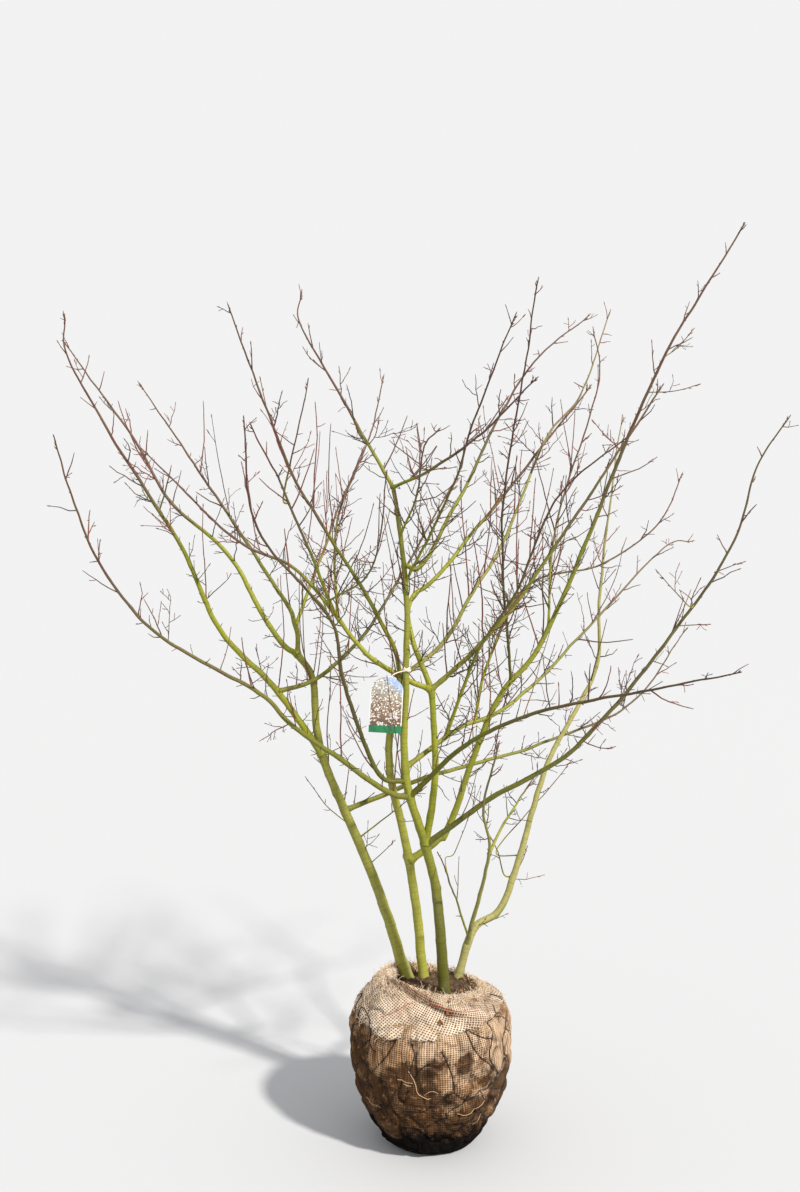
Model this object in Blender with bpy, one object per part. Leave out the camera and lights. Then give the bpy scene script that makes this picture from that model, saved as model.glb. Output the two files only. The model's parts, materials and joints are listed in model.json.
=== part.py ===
"""Serviceberry: a bare shrub of several stems, standing on its hessian-wrapped root ball.

Metres, +Z up. The origin is the centre of the root ball's flat underside, and -Y is the front.
Every stem and bough is one tapering limb, grown through a few named points from its parent. Past its
last solid piece a limb carries a mass of twigs, which branch from the limb's own line by one seeded
rule. Neighbouring pieces stay CLEARANCE apart.
"""

import math
import random
from collections import namedtuple

import bmesh
import bpy
from mathutils import Matrix, Vector

CLEARANCE = 0.0003      # gap between two pieces that meet

# Root ball: (height, radius) from the flat underside to the shoulder under the collar. Heights in
# this file start at the line where the ball sinks out of sight, FOOT_DEPTH above its underside.
FOOT_DEPTH = 0.030
BALL_PROFILE = [
    (-FOOT_DEPTH, 0.110), (-0.022, 0.122), (0.000, 0.141), (0.038, 0.163), (0.085, 0.187),
    (0.130, 0.203), (0.187, 0.213), (0.240, 0.212), (0.285, 0.206), (0.322, 0.196), (0.345, 0.184),
]
BALL_SIDES = 28
BALL_LUMP = 0.0035      # how far the wrapped ball bulges and dips
WIDE_LUMPS = 3          # bulges round the ball
SMALL_LUMPS = 7
LUMP_TWIST = 5          # how far a bulge turns with height, in radians a metre
WIDE_WAVES = 2          # crests round the collar's rim
SMALL_WAVES = 5

# Collar of gathered hessian round the soil: (height above the ball, radius), out and then in.
COLLAR_OUTER = [(0.000, 0.164), (0.013, 0.160), (0.027, 0.149), (0.038, 0.134)]
COLLAR_INNER = [(0.034, 0.124), (0.017, 0.121), (0.000, 0.1195)]
COLLAR_CENTRE = (0.008, 0.018)
COLLAR_LEAN = (-0.022, -0.0145)     # how much higher its rim stands towards +X and towards +Y
COLLAR_WAVE = 0.003     # rise and fall of its rim
SOIL_RADIUS = 0.118
SOIL_TOP_RADIUS = 0.116
SOIL_DEPTH = 0.025
SOIL_CROWN = 0.006      # the soil's edge lies this much lower than its flat middle

BALL_TOP = BALL_PROFILE[-1][0]
GROUND = BALL_TOP + CLEARANCE + SOIL_DEPTH      # level of the soil that the stems stand on

# Limbs.
STEM_SIDES = 8
BOUGH_SIDES = 6
MASS_STEM_SIDES = 4
RING_STEP = 0.08        # length between two rings of a limb
TAPER_POWER = 0.85      # below 1 a limb thins faster near its foot
FLARE = 0.22            # root flare, as a share of the stem's foot radius
FLARE_LENGTH = 0.07
CURVE_STEPS = 12        # samples between two named points of a limb

# Twigs.
TWIG_SIDES = 3
TWIG_SPACING = 0.072
TWIG_LENGTH = 0.15      # the longest, near the foot of a mass
TWIG_SHRINK = 0.75      # twigs near the tip are this much shorter
TWIG_SHORTEST = 0.45    # least share of its full length that a twig grows to
FIRST_TWIG = 0.7        # the first twig stands this share of a spacing past the foot of a mass
LAST_TWIG = 0.97        # and the last at this share of the way to its tip
TWIG_FOOT = 0.0019      # radius
TWIG_ANGLE = math.radians(48)
TWIG_TURN = math.radians(137.5)
TWIG_LIFT = 0.2         # how far a twig leans up towards the light
SPUR_SHARE = 0.5        # length of a twig's own side twig, as a share of the twig
SPUR_CHANCE = 0.35
SPUR_FOOT = 0.0007      # radius, thin enough to sink into the twig that bears it
TWIG_ROOM = 0.003       # least distance to any other limb or mass
SPACE_RADIUS = 0.15     # a mass keeps within this distance of its own stem

# Label hung from the middle of the shrub.
LABEL_WIDTH = 0.083
LABEL_HEIGHT = 0.143
LABEL_THICKNESS = 0.0012
LABEL_CENTRE = (-0.117, -0.072, 1.141)
LABEL_TILT = math.radians(3)
LABEL_ARCH = 0.034      # height of its arched top
STRAP_WIDTH = 0.005
STRAP_LIFT = 0.0015     # the strap's loop stands this far off the bark
STRAP_SHARE = 0.655     # where the loop goes round the front stem
STRAP_SIDES = 12
ARCH_STEPS = 8

FINISHES = {
    "stem_bark": ((0.33, 0.33, 0.09), 0.62),
    "bough_bark": ((0.20, 0.18, 0.09), 0.68),
    "twigs": ((0.24, 0.16, 0.12), 0.72),
    "root_ball": ((0.46, 0.33, 0.20), 0.95),
    "hessian": ((0.62, 0.48, 0.33), 0.95),
    "soil": ((0.06, 0.035, 0.02), 0.98),
    "label": ((0.62, 0.56, 0.52), 0.35),
    "strap": ((0.72, 0.66, 0.55), 0.55),
}

# One limb: its parent and the share of the parent's length where it leaves (None stands on the soil),
# foot and tip diameter in millimetres, the shares of its length where its solid pieces end, and the
# points it passes through on its way to its tip. Past its last solid piece a limb is a mass of twigs.
Limb = namedtuple("Limb", "parent share thick thin ends points")
LIMBS = {
    "stem_left": Limb(None, 0, 32, 18, [1], [
        (-0.055, 0.08, 0.35), (-0.17, 0.13, 0.67), (-0.295, 0.17, 0.96), (-0.32, 0.19, 1.16),
        (-0.36, 0.20, 1.23)]),
    "stem_middle": Limb(None, 0, 27, 18, [1], [
        (-0.015, 0.085, 0.35), (-0.055, 0.09, 0.67), (-0.11, 0.09, 0.96), (-0.08, 0.08, 1.19)]),
    "stem_front": Limb(None, 0, 31, 10, [0.56, 1], [
        (0.037, -0.025, 0.35), (0.005, -0.03, 0.68), (-0.07, -0.04, 0.97), (-0.065, -0.045, 1.25),
        (-0.07, -0.05, 1.49), (-0.10, -0.06, 1.69)]),
    "stem_right": Limb(None, 0, 23, 3, [0.16, 0.62], [
        (0.07, 0.08, 0.35), (0.12, 0.12, 0.49), (0.21, 0.17, 0.56), (0.33, 0.28, 0.90),
        (0.48, 0.38, 1.16), (0.50, 0.45, 1.38), (0.58, 0.62, 1.89)]),
    "stem_inner": Limb("stem_front", 0.31, 20, 15, [1], [
        (0.005, -0.03, 0.90), (0.01, -0.03, 1.00), (0.00, -0.02, 1.17)]),
    "stem_right_inner": Limb("stem_right", 0.06, 13, 4, [0.5], [
        (0.13, 0.04, 0.62), (0.15, -0.03, 0.76), (0.13, -0.10, 0.89), (0.16, -0.20, 1.07)]),
    "bough_right_tall": Limb("stem_middle", 0.40, 20, 4, [0.55], [
        (0.02, 0.10, 0.74), (0.05, 0.10, 0.78), (0.17, 0.10, 1.11), (0.31, 0.11, 1.31), (0.58, 0.11, 1.97),
        (0.81, 0.12, 2.37)]),
    "bough_right_low": Limb("stem_front", 0.31, 16, 3, [0.55], [
        (0.15, -0.07, 0.90), (0.37, -0.13, 1.06), (0.67, -0.25, 1.49), (0.74, -0.32, 1.74),
        (0.80, -0.36, 1.85)]),
    "bough_left_upper": Limb("stem_left", 1, 16, 3, [0.45], [
        (-0.42, 0.21, 1.28), (-0.55, 0.24, 1.50), (-0.71, 0.28, 1.64), (-0.82, 0.31, 1.82),
        (-1.02, 0.36, 2.09)]),
    "bough_left_back": Limb("stem_left", 1, 14, 3, [0.45], [
        (-0.37, 0.23, 1.31), (-0.44, 0.29, 1.43), (-0.86, 0.62, 1.99)]),
    "bough_left_outer": Limb("stem_left", 0.70, 20, 3, [0.5], [
        (-0.41, 0.13, 1.14), (-0.56, 0.09, 1.32), (-0.64, 0.04, 1.52), (-0.88, -0.09, 1.97),
        (-0.90, -0.12, 2.11)]),
    "bough_crossing": Limb("bough_left_outer", 0.16, 13, 4, [], [
        (-0.31, 0.17, 1.17), (-0.19, 0.24, 1.27), (-0.07, 0.35, 1.45), (0.07, 0.48, 1.69)]),
    "bough_left_low": Limb("stem_front", 0.41, 16, 3, [0.55], [
        (-0.12, -0.06, 0.92), (-0.34, -0.16, 1.10), (-0.43, -0.21, 1.20), (-0.64, -0.33, 1.35),
        (-0.76, -0.45, 1.55), (-0.81, -0.58, 1.80)]),
    "bough_left_front": Limb("stem_front", 0.44, 13, 3, [0.45], [
        (-0.14, -0.07, 0.97), (-0.22, -0.18, 1.22), (-0.25, -0.27, 1.39), (-0.40, -0.42, 1.60),
        (-0.41, -0.58, 1.84)]),
    "bough_left_inner": Limb("stem_inner", 1, 15, 3, [0.5], [
        (-0.07, -0.02, 1.20), (-0.17, -0.01, 1.27), (-0.34, 0.00, 1.47), (-0.51, 0.01, 1.56),
        (-0.74, 0.02, 1.79)]),
    "bough_left_high": Limb("stem_middle", 1, 13, 3, [0.45], [
        (-0.12, 0.05, 1.32), (-0.33, -0.08, 1.69), (-0.41, -0.17, 1.90), (-0.48, -0.26, 2.12)]),
    "bough_right_back": Limb("stem_left", 0.525, 15, 3, [0.55], [
        (0.00, 0.25, 0.88), (0.32, 0.40, 0.94), (0.61, 0.53, 1.04), (0.80, 0.66, 1.25)]),
    "bough_right_middle": Limb("stem_front", 0.468, 14, 3, [0.5], [
        (0.07, 0.06, 1.05), (0.26, 0.18, 1.13), (0.67, 0.52, 1.48), (0.80, 0.60, 1.52)]),
    "bough_right_front": Limb("stem_front", 0.41, 15, 3, [0.5], [
        (0.07, -0.13, 1.04), (0.23, -0.25, 1.15), (0.44, -0.42, 1.23), (0.64, -0.62, 1.31)]),
    "bough_pale": Limb("stem_middle", 1, 13, 3, [0.45], [
        (0.04, 0.12, 1.28), (0.12, 0.16, 1.42), (0.20, 0.21, 1.54), (0.32, 0.29, 1.82), (0.42, 0.34, 1.94),
        (0.51, 0.42, 2.18)]),
    "bough_inner_back": Limb("stem_inner", 1, 15, 4, [0.45], [
        (-0.05, 0.03, 1.30), (-0.05, 0.08, 1.40), (0.05, 0.14, 1.49), (0.46, 0.42, 1.97)]),
    "bough_inner_right": Limb("stem_inner", 1, 14, 4, [0.45], [
        (0.12, -0.05, 1.29), (0.27, -0.09, 1.49), (0.54, -0.20, 1.93)]),
    "bough_back_high": Limb("stem_front", 0.85, 12, 3, [], [
        (0.00, 0.00, 1.53), (0.26, 0.36, 1.99), (0.47, 0.54, 2.18)]),
    "bough_front_right": Limb("bough_right_middle", 0.12, 10, 3, [], [
        (0.11, -0.06, 1.27), (0.20, -0.16, 1.43), (0.28, -0.31, 1.67), (0.42, -0.46, 1.81)]),
    "shoot_left_back": Limb("bough_left_back", 0.08, 11, 3, [], [
        (-0.27, 0.44, 1.59), (-0.19, 0.60, 1.80)]),
    "shoot_left_inner": Limb("bough_left_inner", 0.33, 10, 3, [], [
        (-0.34, -0.18, 1.63), (-0.42, -0.36, 1.84)]),
    "shoot_back_left": Limb("bough_left_inner", 0.32, 8, 3, [], [
        (-0.25, 0.15, 1.60), (-0.17, 0.32, 1.81), (-0.13, 0.45, 2.00)]),
    "shoot_tall": Limb("bough_right_tall", 0.30, 8, 3, [], [
        (0.18, -0.02, 1.50), (0.18, -0.12, 1.72), (0.23, -0.36, 2.16)]),
    "shoot_right_high": Limb("bough_right_tall", 0.39, 7, 3, [], [
        (0.34, 0.18, 1.60), (0.46, 0.28, 1.97), (0.45, 0.32, 2.12)]),
    "shoot_right_middle": Limb("bough_right_middle", 0.20, 9, 3, [], [
        (0.15, 0.13, 1.21), (0.26, 0.21, 1.42), (0.47, 0.28, 1.47), (0.64, 0.34, 1.58), (0.72, 0.40, 1.72)]),
    "shoot_right_low": Limb("stem_right_inner", 0.45, 9, 3, [], [
        (0.20, 0.06, 0.81), (0.30, 0.28, 0.88)]),
    "shoot_right_foot": Limb("stem_right", 0.07, 7, 3, [], [
        (0.06, -0.05, 0.64), (0.01, -0.24, 0.81)]),
    "shoot_front_high": Limb("stem_front", 0.82, 8, 3, [], [
        (0.04, -0.18, 1.68), (0.10, -0.30, 1.88), (0.17, -0.45, 2.07)]),
    "shoot_front": Limb("stem_front", 0.91, 6, 3, [], [
        (-0.04, -0.24, 1.68), (-0.03, -0.49, 1.78), (0.00, -0.62, 1.82)]),
    "shoot_top_left": Limb("stem_front", 1, 10, 3, [], [
        (-0.22, 0.03, 1.90), (-0.34, 0.12, 2.11), (-0.34, 0.16, 2.20)]),
    "shoot_top_right": Limb("stem_front", 1, 9, 3, [], [
        (0.00, -0.15, 1.74), (0.11, -0.31, 1.82), (0.21, -0.52, 1.93)]),
}

Capsule = namedtuple("Capsule", "start end thick thin owner")


# ---- lines -------------------------------------------------------------------------------------

def spline_point(before, start, end, after, t):
    """Point at t between start and end of a Catmull-Rom curve."""
    return 0.5 * (2 * start + (end - before) * t
                  + (2 * before - 5 * start + 4 * end - after) * t ** 2
                  + (3 * start - before - 3 * end + after) * t ** 3)


class Line:
    """A smooth line through a few points, read by the share of its length."""

    def __init__(self, points):
        ends = [2 * points[0] - points[1]] + points + [2 * points[-1] - points[-2]]
        self.samples = []
        for i in range(1, len(ends) - 2):
            for step in range(CURVE_STEPS):
                self.samples.append(spline_point(*ends[i - 1:i + 3], step / CURVE_STEPS))
        self.samples.append(points[-1].copy())
        self.lengths = [0.0]
        for a, b in zip(self.samples, self.samples[1:]):
            self.lengths.append(self.lengths[-1] + (b - a).length)
        self.length = self.lengths[-1]
        chord = points[-1] - points[0]
        self.side = chord.orthogonal().normalized()

    def point(self, share):
        goal = share * self.length
        for i in range(1, len(self.lengths)):
            if self.lengths[i] >= goal or i == len(self.lengths) - 1:
                span = self.lengths[i] - self.lengths[i - 1]
                return self.samples[i - 1].lerp(self.samples[i], (goal - self.lengths[i - 1]) / span)

    def heading(self, share):
        reach = 0.01
        low = max(0.0, share - reach)
        high = min(1.0, share + reach)
        return (self.point(high) - self.point(low)).normalized()


def limb_radius(limb, line, share):
    taper = limb.thick + (limb.thin - limb.thick) * share ** TAPER_POWER
    radius = taper / 2000
    if limb.parent is None:
        height = share * line.length
        radius *= 1 + FLARE * max(0.0, 1 - height / FLARE_LENGTH) ** 2
    return radius


# ---- meshes ------------------------------------------------------------------------------------

def finish_material(slot):
    material = bpy.data.materials.get(slot)
    if material is None:
        material = bpy.data.materials.new(slot)
        material.use_nodes = True
        shader = material.node_tree.nodes["Principled BSDF"]
        colour, roughness = FINISHES[slot]
        shader.inputs["Base Color"].default_value = (*colour, 1)
        shader.inputs["Roughness"].default_value = roughness
        shader.inputs["Metallic"].default_value = 0
    return material


def new_object(name, made, slot):
    """An object from a bmesh that is one closed body, with its faces turned out."""
    bmesh.ops.recalc_face_normals(made, faces=made.faces)
    mesh = bpy.data.meshes.new(name)
    made.to_mesh(mesh)
    made.free()
    mesh.materials.append(finish_material(slot))
    piece = bpy.data.objects.new(name, mesh)
    bpy.context.scene.collection.objects.link(piece)
    return piece


def bridge_rings(made, rings, closed_loop=False):
    """Side faces between rings of vertices, and a cap on each end unless the rings close on themselves."""
    pairs = list(zip(rings, rings[1:]))
    if closed_loop:
        pairs.append((rings[-1], rings[0]))
    for low, high in pairs:
        count = len(low)
        for i in range(count):
            j = (i + 1) % count
            made.faces.new((low[i], low[j], high[j], high[i]))
    if not closed_loop:
        made.faces.new(reversed(rings[0]))
        made.faces.new(rings[-1])


def ring_at(made, centre, heading, side, radius, sides):
    across = (side - heading * side.dot(heading)).normalized()
    up = heading.cross(across)
    ring = []
    for i in range(sides):
        angle = math.tau * i / sides
        ring.append(made.verts.new(centre + radius * (math.cos(angle) * across + math.sin(angle) * up)))
    return ring


def limb_tube(limb, line, start, end, sides, grow=0.0):
    """The stretch of a limb between two shares. A grown copy is the room that its neighbours leave."""
    made = bmesh.new()
    count = max(2, math.ceil((end - start) * line.length / RING_STEP) + 1)
    wider = grow / math.cos(math.pi / sides)
    rings = []
    for i in range(count):
        share = start + (end - start) * i / (count - 1)
        centre = line.point(share)
        heading = line.heading(share)
        if i == 0:
            centre = centre - heading * grow
        if i == count - 1:
            centre = centre + heading * grow
        radius = limb_radius(limb, line, share) + wider
        rings.append(ring_at(made, centre, heading, line.side, radius, sides))
    bridge_rings(made, rings)
    return made


def turned(profile, centre, lump, wave=0, lean=(0, 0), closed_loop=False):
    """A wrapped round form: rings of (height, radius) with soft lumps, and a rim that leans and waves."""
    made = bmesh.new()
    top = max(height for height, _ in profile)
    bottom = min(height for height, _ in profile)
    rings = []
    for height, radius in profile:
        rise = (height - bottom) / (top - bottom)
        ring = []
        for i in range(BALL_SIDES):
            angle = math.tau * i / BALL_SIDES
            wide = math.sin(WIDE_LUMPS * angle + LUMP_TWIST * height)
            bulge = lump * (wide + math.sin(SMALL_LUMPS * angle)) * math.sin(math.pi * rise)
            lift = wave * rise ** 2 * (math.sin(WIDE_WAVES * angle) + math.sin(SMALL_WAVES * angle) / 2)
            lift += rise * (lean[0] * math.cos(angle) + lean[1] * math.sin(angle))
            reach = radius + bulge
            x = centre[0] + reach * math.cos(angle)
            y = centre[1] + reach * math.sin(angle)
            ring.append(made.verts.new((x, y, height + lift)))
        rings.append(ring)
    bridge_rings(made, rings, closed_loop)
    return made


# ---- cutting and joining -------------------------------------------------------------------------

def keep_largest_island(mesh, ngon_method):
    """Drop loose scraps, and triangulate what is left."""
    made = bmesh.new()
    made.from_mesh(mesh)
    bmesh.ops.triangulate(made, faces=made.faces, ngon_method=ngon_method)
    made.faces.ensure_lookup_table()
    islands = []
    seen = set()
    for face in made.faces:
        if face.index in seen:
            continue
        island = [face]
        seen.add(face.index)
        for member in island:
            for edge in member.edges:
                for other in edge.link_faces:
                    if other.index not in seen:
                        seen.add(other.index)
                        island.append(other)
        islands.append(island)
    islands.sort(key=len)
    scraps = [face for island in islands[:-1] for face in island]
    bmesh.ops.delete(made, geom=scraps, context="FACES")
    made.to_mesh(mesh)
    made.free()


def is_sound(mesh):
    """Whether every edge has two faces and every vertex one fan of them."""
    made = bmesh.new()
    made.from_mesh(mesh)
    sound = len(made.faces) > 0 and all(edge.is_manifold for edge in made.edges)
    sound = sound and all(vert.is_manifold for vert in made.verts)
    made.free()
    return sound


def apply_modifiers(piece):
    """Apply a piece's Booleans, by MANIFOLD where EXACT leaves a torn mesh."""
    old = piece.data
    for solver, ngon_method in (("EXACT", "BEAUTY"), ("EXACT", "EAR_CLIP"), ("MANIFOLD", "BEAUTY")):
        for modifier in piece.modifiers:
            modifier.solver = solver
        graph = bpy.context.evaluated_depsgraph_get()
        mesh = bpy.data.meshes.new_from_object(piece.evaluated_get(graph))
        keep_largest_island(mesh, ngon_method)
        if is_sound(mesh):
            break
    mesh.name = piece.name
    piece.modifiers.clear()
    piece.data = mesh
    bpy.data.meshes.remove(old)


def remove_object(piece):
    mesh = piece.data
    bpy.data.objects.remove(piece)
    bpy.data.meshes.remove(mesh)


def trim(piece, cutters):
    """Cut a piece back from the room of the limbs that it meets."""
    if not cutters:
        return
    for cutter in cutters:
        cutter.hide_render = True
        cutter.display_type = "WIRE"
        cut = piece.modifiers.new("trim", "BOOLEAN")
        cut.operation = "DIFFERENCE"
        cut.object = cutter
    apply_modifiers(piece)
    for cutter in cutters:
        remove_object(cutter)


def join(piece, twigs):
    """Fuse a mass's twigs to its stem with one Boolean union, and remove the loose twigs."""
    if not twigs:
        return
    group = bpy.data.collections.new("loose_twigs")
    bpy.context.scene.collection.children.link(group)
    for twig in twigs:
        bpy.context.scene.collection.objects.unlink(twig)
        group.objects.link(twig)
    fuse = piece.modifiers.new("fuse", "BOOLEAN")
    fuse.operation = "UNION"
    fuse.operand_type = "COLLECTION"
    fuse.collection = group
    apply_modifiers(piece)
    for twig in twigs:
        remove_object(twig)
    bpy.data.collections.remove(group)


# ---- room between limbs ------------------------------------------------------------------------

def segment_distance(a, b):
    """Least distance between two straight stretches."""
    u = a.end - a.start
    v = b.end - b.start
    w = a.start - b.start
    uu, uv, vv, uw, vw = u.dot(u), u.dot(v), v.dot(v), u.dot(w), v.dot(w)
    spread = uu * vv - uv * uv
    s = min(1.0, max(0.0, (uv * vw - vv * uw) / spread)) if spread > 1e-12 else 0.0
    t = min(1.0, max(0.0, (uv * s + vw) / vv))
    s = min(1.0, max(0.0, (uv * t - uw) / uu))
    return (w + u * s - v * t).length


def room_between(a, b):
    return segment_distance(a, b) - max(a.thick, a.thin) - max(b.thick, b.thin)


def near(a, b, room):
    """A quick test that spares the exact one."""
    reach = (a.end - a.start).length + (b.end - b.start).length
    return ((a.start + a.end) - (b.start + b.end)).length < reach + 2 * (a.thick + b.thick + room)


def capsules_of(limb, line, start, end, owner):
    count = max(1, math.ceil((end - start) * line.length / RING_STEP))
    row = []
    for i in range(count):
        low = start + (end - start) * i / count
        high = start + (end - start) * (i + 1) / count
        row.append(Capsule(line.point(low), line.point(high), limb_radius(limb, line, low),
                           limb_radius(limb, line, high), owner))
    return row


def touches(stretch, others, room):
    return any(near(stretch, other, room) and room_between(stretch, other) < room for other in others)


# ---- the shrub ---------------------------------------------------------------------------------

def make_lines():
    lines = {}
    for name, limb in LIMBS.items():
        points = [Vector(point) for point in limb.points]
        if limb.parent is not None:
            points.insert(0, lines[limb.parent].point(limb.share))
        lines[name] = Line(points)
    return lines


def limb_stretches(name, limb, line):
    """The (node name, start share, end share) of each solid piece, and then of the mass."""
    rows = []
    start = 0.0
    for i, end in enumerate(limb.ends):
        rows.append((name if i == 0 else name + "_upper", start, end))
        start = end + CLEARANCE / line.length
    if start < 1:
        rows.append(("twigs_" + name, start, 1.0))
    return rows


def flat_cut(piece):
    """Cut a stem's foot level, just clear of the soil."""
    made = bmesh.new()
    made.from_mesh(piece.data)
    level = GROUND + CLEARANCE
    everything = made.verts[:] + made.edges[:] + made.faces[:]
    ground = {"plane_co": (0, 0, level), "plane_no": (0, 0, 1)}
    cut = bmesh.ops.bisect_plane(made, geom=everything, clear_inner=True, **ground)
    rim = [item for item in cut["geom_cut"] if isinstance(item, bmesh.types.BMEdge)]
    bmesh.ops.edgeloop_fill(made, edges=rim)
    bmesh.ops.recalc_face_normals(made, faces=made.faces)
    made.to_mesh(piece.data)
    made.free()


def twig_cone(stretch):
    """A three-sided twig that thins to a point."""
    made = bmesh.new()
    heading = (stretch.end - stretch.start).normalized()
    ring = ring_at(made, stretch.start, heading, heading.orthogonal(), stretch.thick, TWIG_SIDES)
    point = made.verts.new(stretch.end)
    made.faces.new(reversed(ring))
    for i in range(TWIG_SIDES):
        made.faces.new((ring[i], ring[(i + 1) % TWIG_SIDES], point))
    return made


def twig_stretch(root, heading, outward, length, thick, owner):
    """A twig that leaves its limb at an angle and leans up."""
    aim = heading * math.cos(TWIG_ANGLE) + outward * math.sin(TWIG_ANGLE) + Vector((0, 0, TWIG_LIFT))
    return Capsule(root, root + aim.normalized() * length, thick, 0.0, owner)


def grow_twigs(owner, line, start, chance, taken):
    """Twigs along a mass's stem, each kept only where it has room and stays in the mass's own space."""
    twigs = []
    count = int((1 - start) * line.length / TWIG_SPACING)
    others = [capsule for capsule in taken if capsule.owner != owner]
    turn = chance.uniform(0, math.tau)
    for i in range(count):
        progress = (i + FIRST_TWIG) / count
        share = start + (1 - start) * min(LAST_TWIG, progress)
        heading = line.heading(share)
        turn += TWIG_TURN
        outward = Matrix.Rotation(turn, 3, heading) @ heading.orthogonal().normalized()
        length = TWIG_LENGTH * (1 - TWIG_SHRINK * progress) * chance.uniform(TWIG_SHORTEST, 1.0)
        root = line.point(share)
        grown = [twig_stretch(root, heading, outward, length, TWIG_FOOT, owner)]
        if chance.random() < SPUR_CHANCE:
            fork = grown[0].start.lerp(grown[0].end, SPUR_SHARE)
            along = (grown[0].end - grown[0].start).normalized()
            grown.append(twig_stretch(fork, along, along.cross(outward).normalized(), length * SPUR_SHARE,
                                      SPUR_FOOT, owner))
        for stretch in grown:
            outside = (root - stretch.end).length > SPACE_RADIUS
            if outside or touches(stretch, others, TWIG_ROOM):
                break
            taken.append(stretch)
            twigs.append(new_object("twig", twig_cone(stretch), "twigs"))
    return twigs


def make_limbs():
    lines = make_lines()
    chance = random.Random(41)
    built = []      # (limb, line, start, end, sides, stretches) of each piece so far
    masses = []
    taken = []
    for name, limb in LIMBS.items():
        line = lines[name]
        for node, start, end in limb_stretches(name, limb, line):
            is_mass = node.startswith("twigs_")
            sides = MASS_STEM_SIDES if is_mass else STEM_SIDES if name.startswith("stem") else BOUGH_SIDES
            slot = "twigs" if is_mass else "stem_bark" if name.startswith("stem") else "bough_bark"
            piece = new_object(node, limb_tube(limb, line, start, end, sides), slot)
            stretches = capsules_of(limb, line, start, end, node)
            cutters = []
            for row in built:
                other_limb = row[0] is not limb
                if other_limb and any(touches(stretch, row[5], 2 * CLEARANCE) for stretch in stretches):
                    cutters.append(new_object("cutter", limb_tube(*row[:5], grow=CLEARANCE), slot))
            trim(piece, cutters)
            if limb.parent is None and start == 0:
                flat_cut(piece)
            built.append((limb, line, start, end, sides, stretches))
            taken.extend(stretches)
            if is_mass:
                masses.append((piece, node, line, start))
    for piece, node, line, start in masses:
        join(piece, grow_twigs(node, line, start, chance, taken))


# ---- root ball -----------------------------------------------------------------------------------

def make_root_ball():
    new_object("root_ball", turned(BALL_PROFILE, (0, 0), BALL_LUMP), "root_ball")
    base = BALL_TOP + CLEARANCE
    collar = [(base + height, radius) for height, radius in COLLAR_OUTER + COLLAR_INNER]
    made = turned(collar, COLLAR_CENTRE, BALL_LUMP / 3, COLLAR_WAVE, COLLAR_LEAN, closed_loop=True)
    ring = new_object("collar", made, "hessian")
    leaning = LIMBS["stem_left"]
    room = limb_tube(leaning, make_lines()["stem_left"], 0, 1, STEM_SIDES, grow=CLEARANCE)
    trim(ring, [new_object("cutter", room, "hessian")])
    top = base + SOIL_DEPTH
    soil = [(base, SOIL_RADIUS), (top - SOIL_CROWN, SOIL_RADIUS), (top, SOIL_TOP_RADIUS)]
    new_object("soil", turned(soil, COLLAR_CENTRE, 0), "soil")


# ---- label ---------------------------------------------------------------------------------------

def make_label():
    """A thin card with an arched top, and the strap that holds it to the front stem."""
    made = bmesh.new()
    half = LABEL_WIDTH / 2
    shoulder = LABEL_HEIGHT / 2 - LABEL_ARCH
    outline = [(-half, -LABEL_HEIGHT / 2), (half, -LABEL_HEIGHT / 2)]
    for i in range(ARCH_STEPS + 1):
        angle = math.pi * i / ARCH_STEPS
        outline.append((half * math.cos(angle), shoulder + LABEL_ARCH * math.sin(angle)))
    face = made.faces.new([made.verts.new((x, 0, z)) for x, z in outline])
    grown = bmesh.ops.extrude_face_region(made, geom=[face])
    moved = [item for item in grown["geom"] if isinstance(item, bmesh.types.BMVert)]
    bmesh.ops.translate(made, verts=moved, vec=(0, LABEL_THICKNESS, 0))
    turn = Matrix.Rotation(LABEL_TILT, 4, "Y")
    bmesh.ops.transform(made, matrix=Matrix.Translation(LABEL_CENTRE) @ turn, verts=made.verts)
    new_object("label", made, "label")
    make_strap()


def make_strap():
    """A flat loop round the stem, with a tail that ends just above the label."""
    limb = LIMBS["stem_front"]
    line = make_lines()["stem_front"]
    centre = line.point(STRAP_SHARE)
    bark = limb_radius(limb, line, STRAP_SHARE)
    inner = bark + STRAP_LIFT
    outer = inner + STRAP_LIFT
    loop = bmesh.new()
    rings = []
    for radius, rise in ((outer, 0), (outer, STRAP_WIDTH), (inner, STRAP_WIDTH), (inner, 0)):
        middle = centre + Vector((0, 0, rise))
        rings.append(ring_at(loop, middle, Vector((0, 0, 1)), Vector((1, 0, 0)), radius, STRAP_SIDES))
    bridge_rings(loop, rings, closed_loop=True)
    strap = new_object("strap", loop, "strap")
    tail = bmesh.new()
    start = centre + Vector((0, -inner - STRAP_LIFT / 2, STRAP_WIDTH / 2))
    label_top = Vector(LABEL_CENTRE) + Vector((0, LABEL_THICKNESS / 2, LABEL_HEIGHT / 2 + 2 * CLEARANCE))
    end = label_top + Vector((0, 0, CLEARANCE))
    side = Vector((0, 1, 0))
    heading = (end - start).normalized()
    rings = [ring_at(tail, point, heading, side, STRAP_LIFT / 2, 4) for point in (start, end)]
    bridge_rings(tail, rings)
    join(strap, [new_object("tail", tail, "strap")])


def stand_on_floor():
    """Lift every piece by the depth of the ball's foot."""
    for item in bpy.context.scene.objects:
        item.data.transform(Matrix.Translation((0, 0, FOOT_DEPTH)))


def main():
    for item in list(bpy.data.objects):
        bpy.data.objects.remove(item)
    make_root_ball()
    make_limbs()
    make_label()
    stand_on_floor()


main()
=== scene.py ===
import json
import math
import random
from collections import namedtuple
import bmesh
import bpy
from mathutils import Matrix, Vector, noise
from mathutils.bvhtree import BVHTree
from mathutils.kdtree import KDTree

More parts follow.
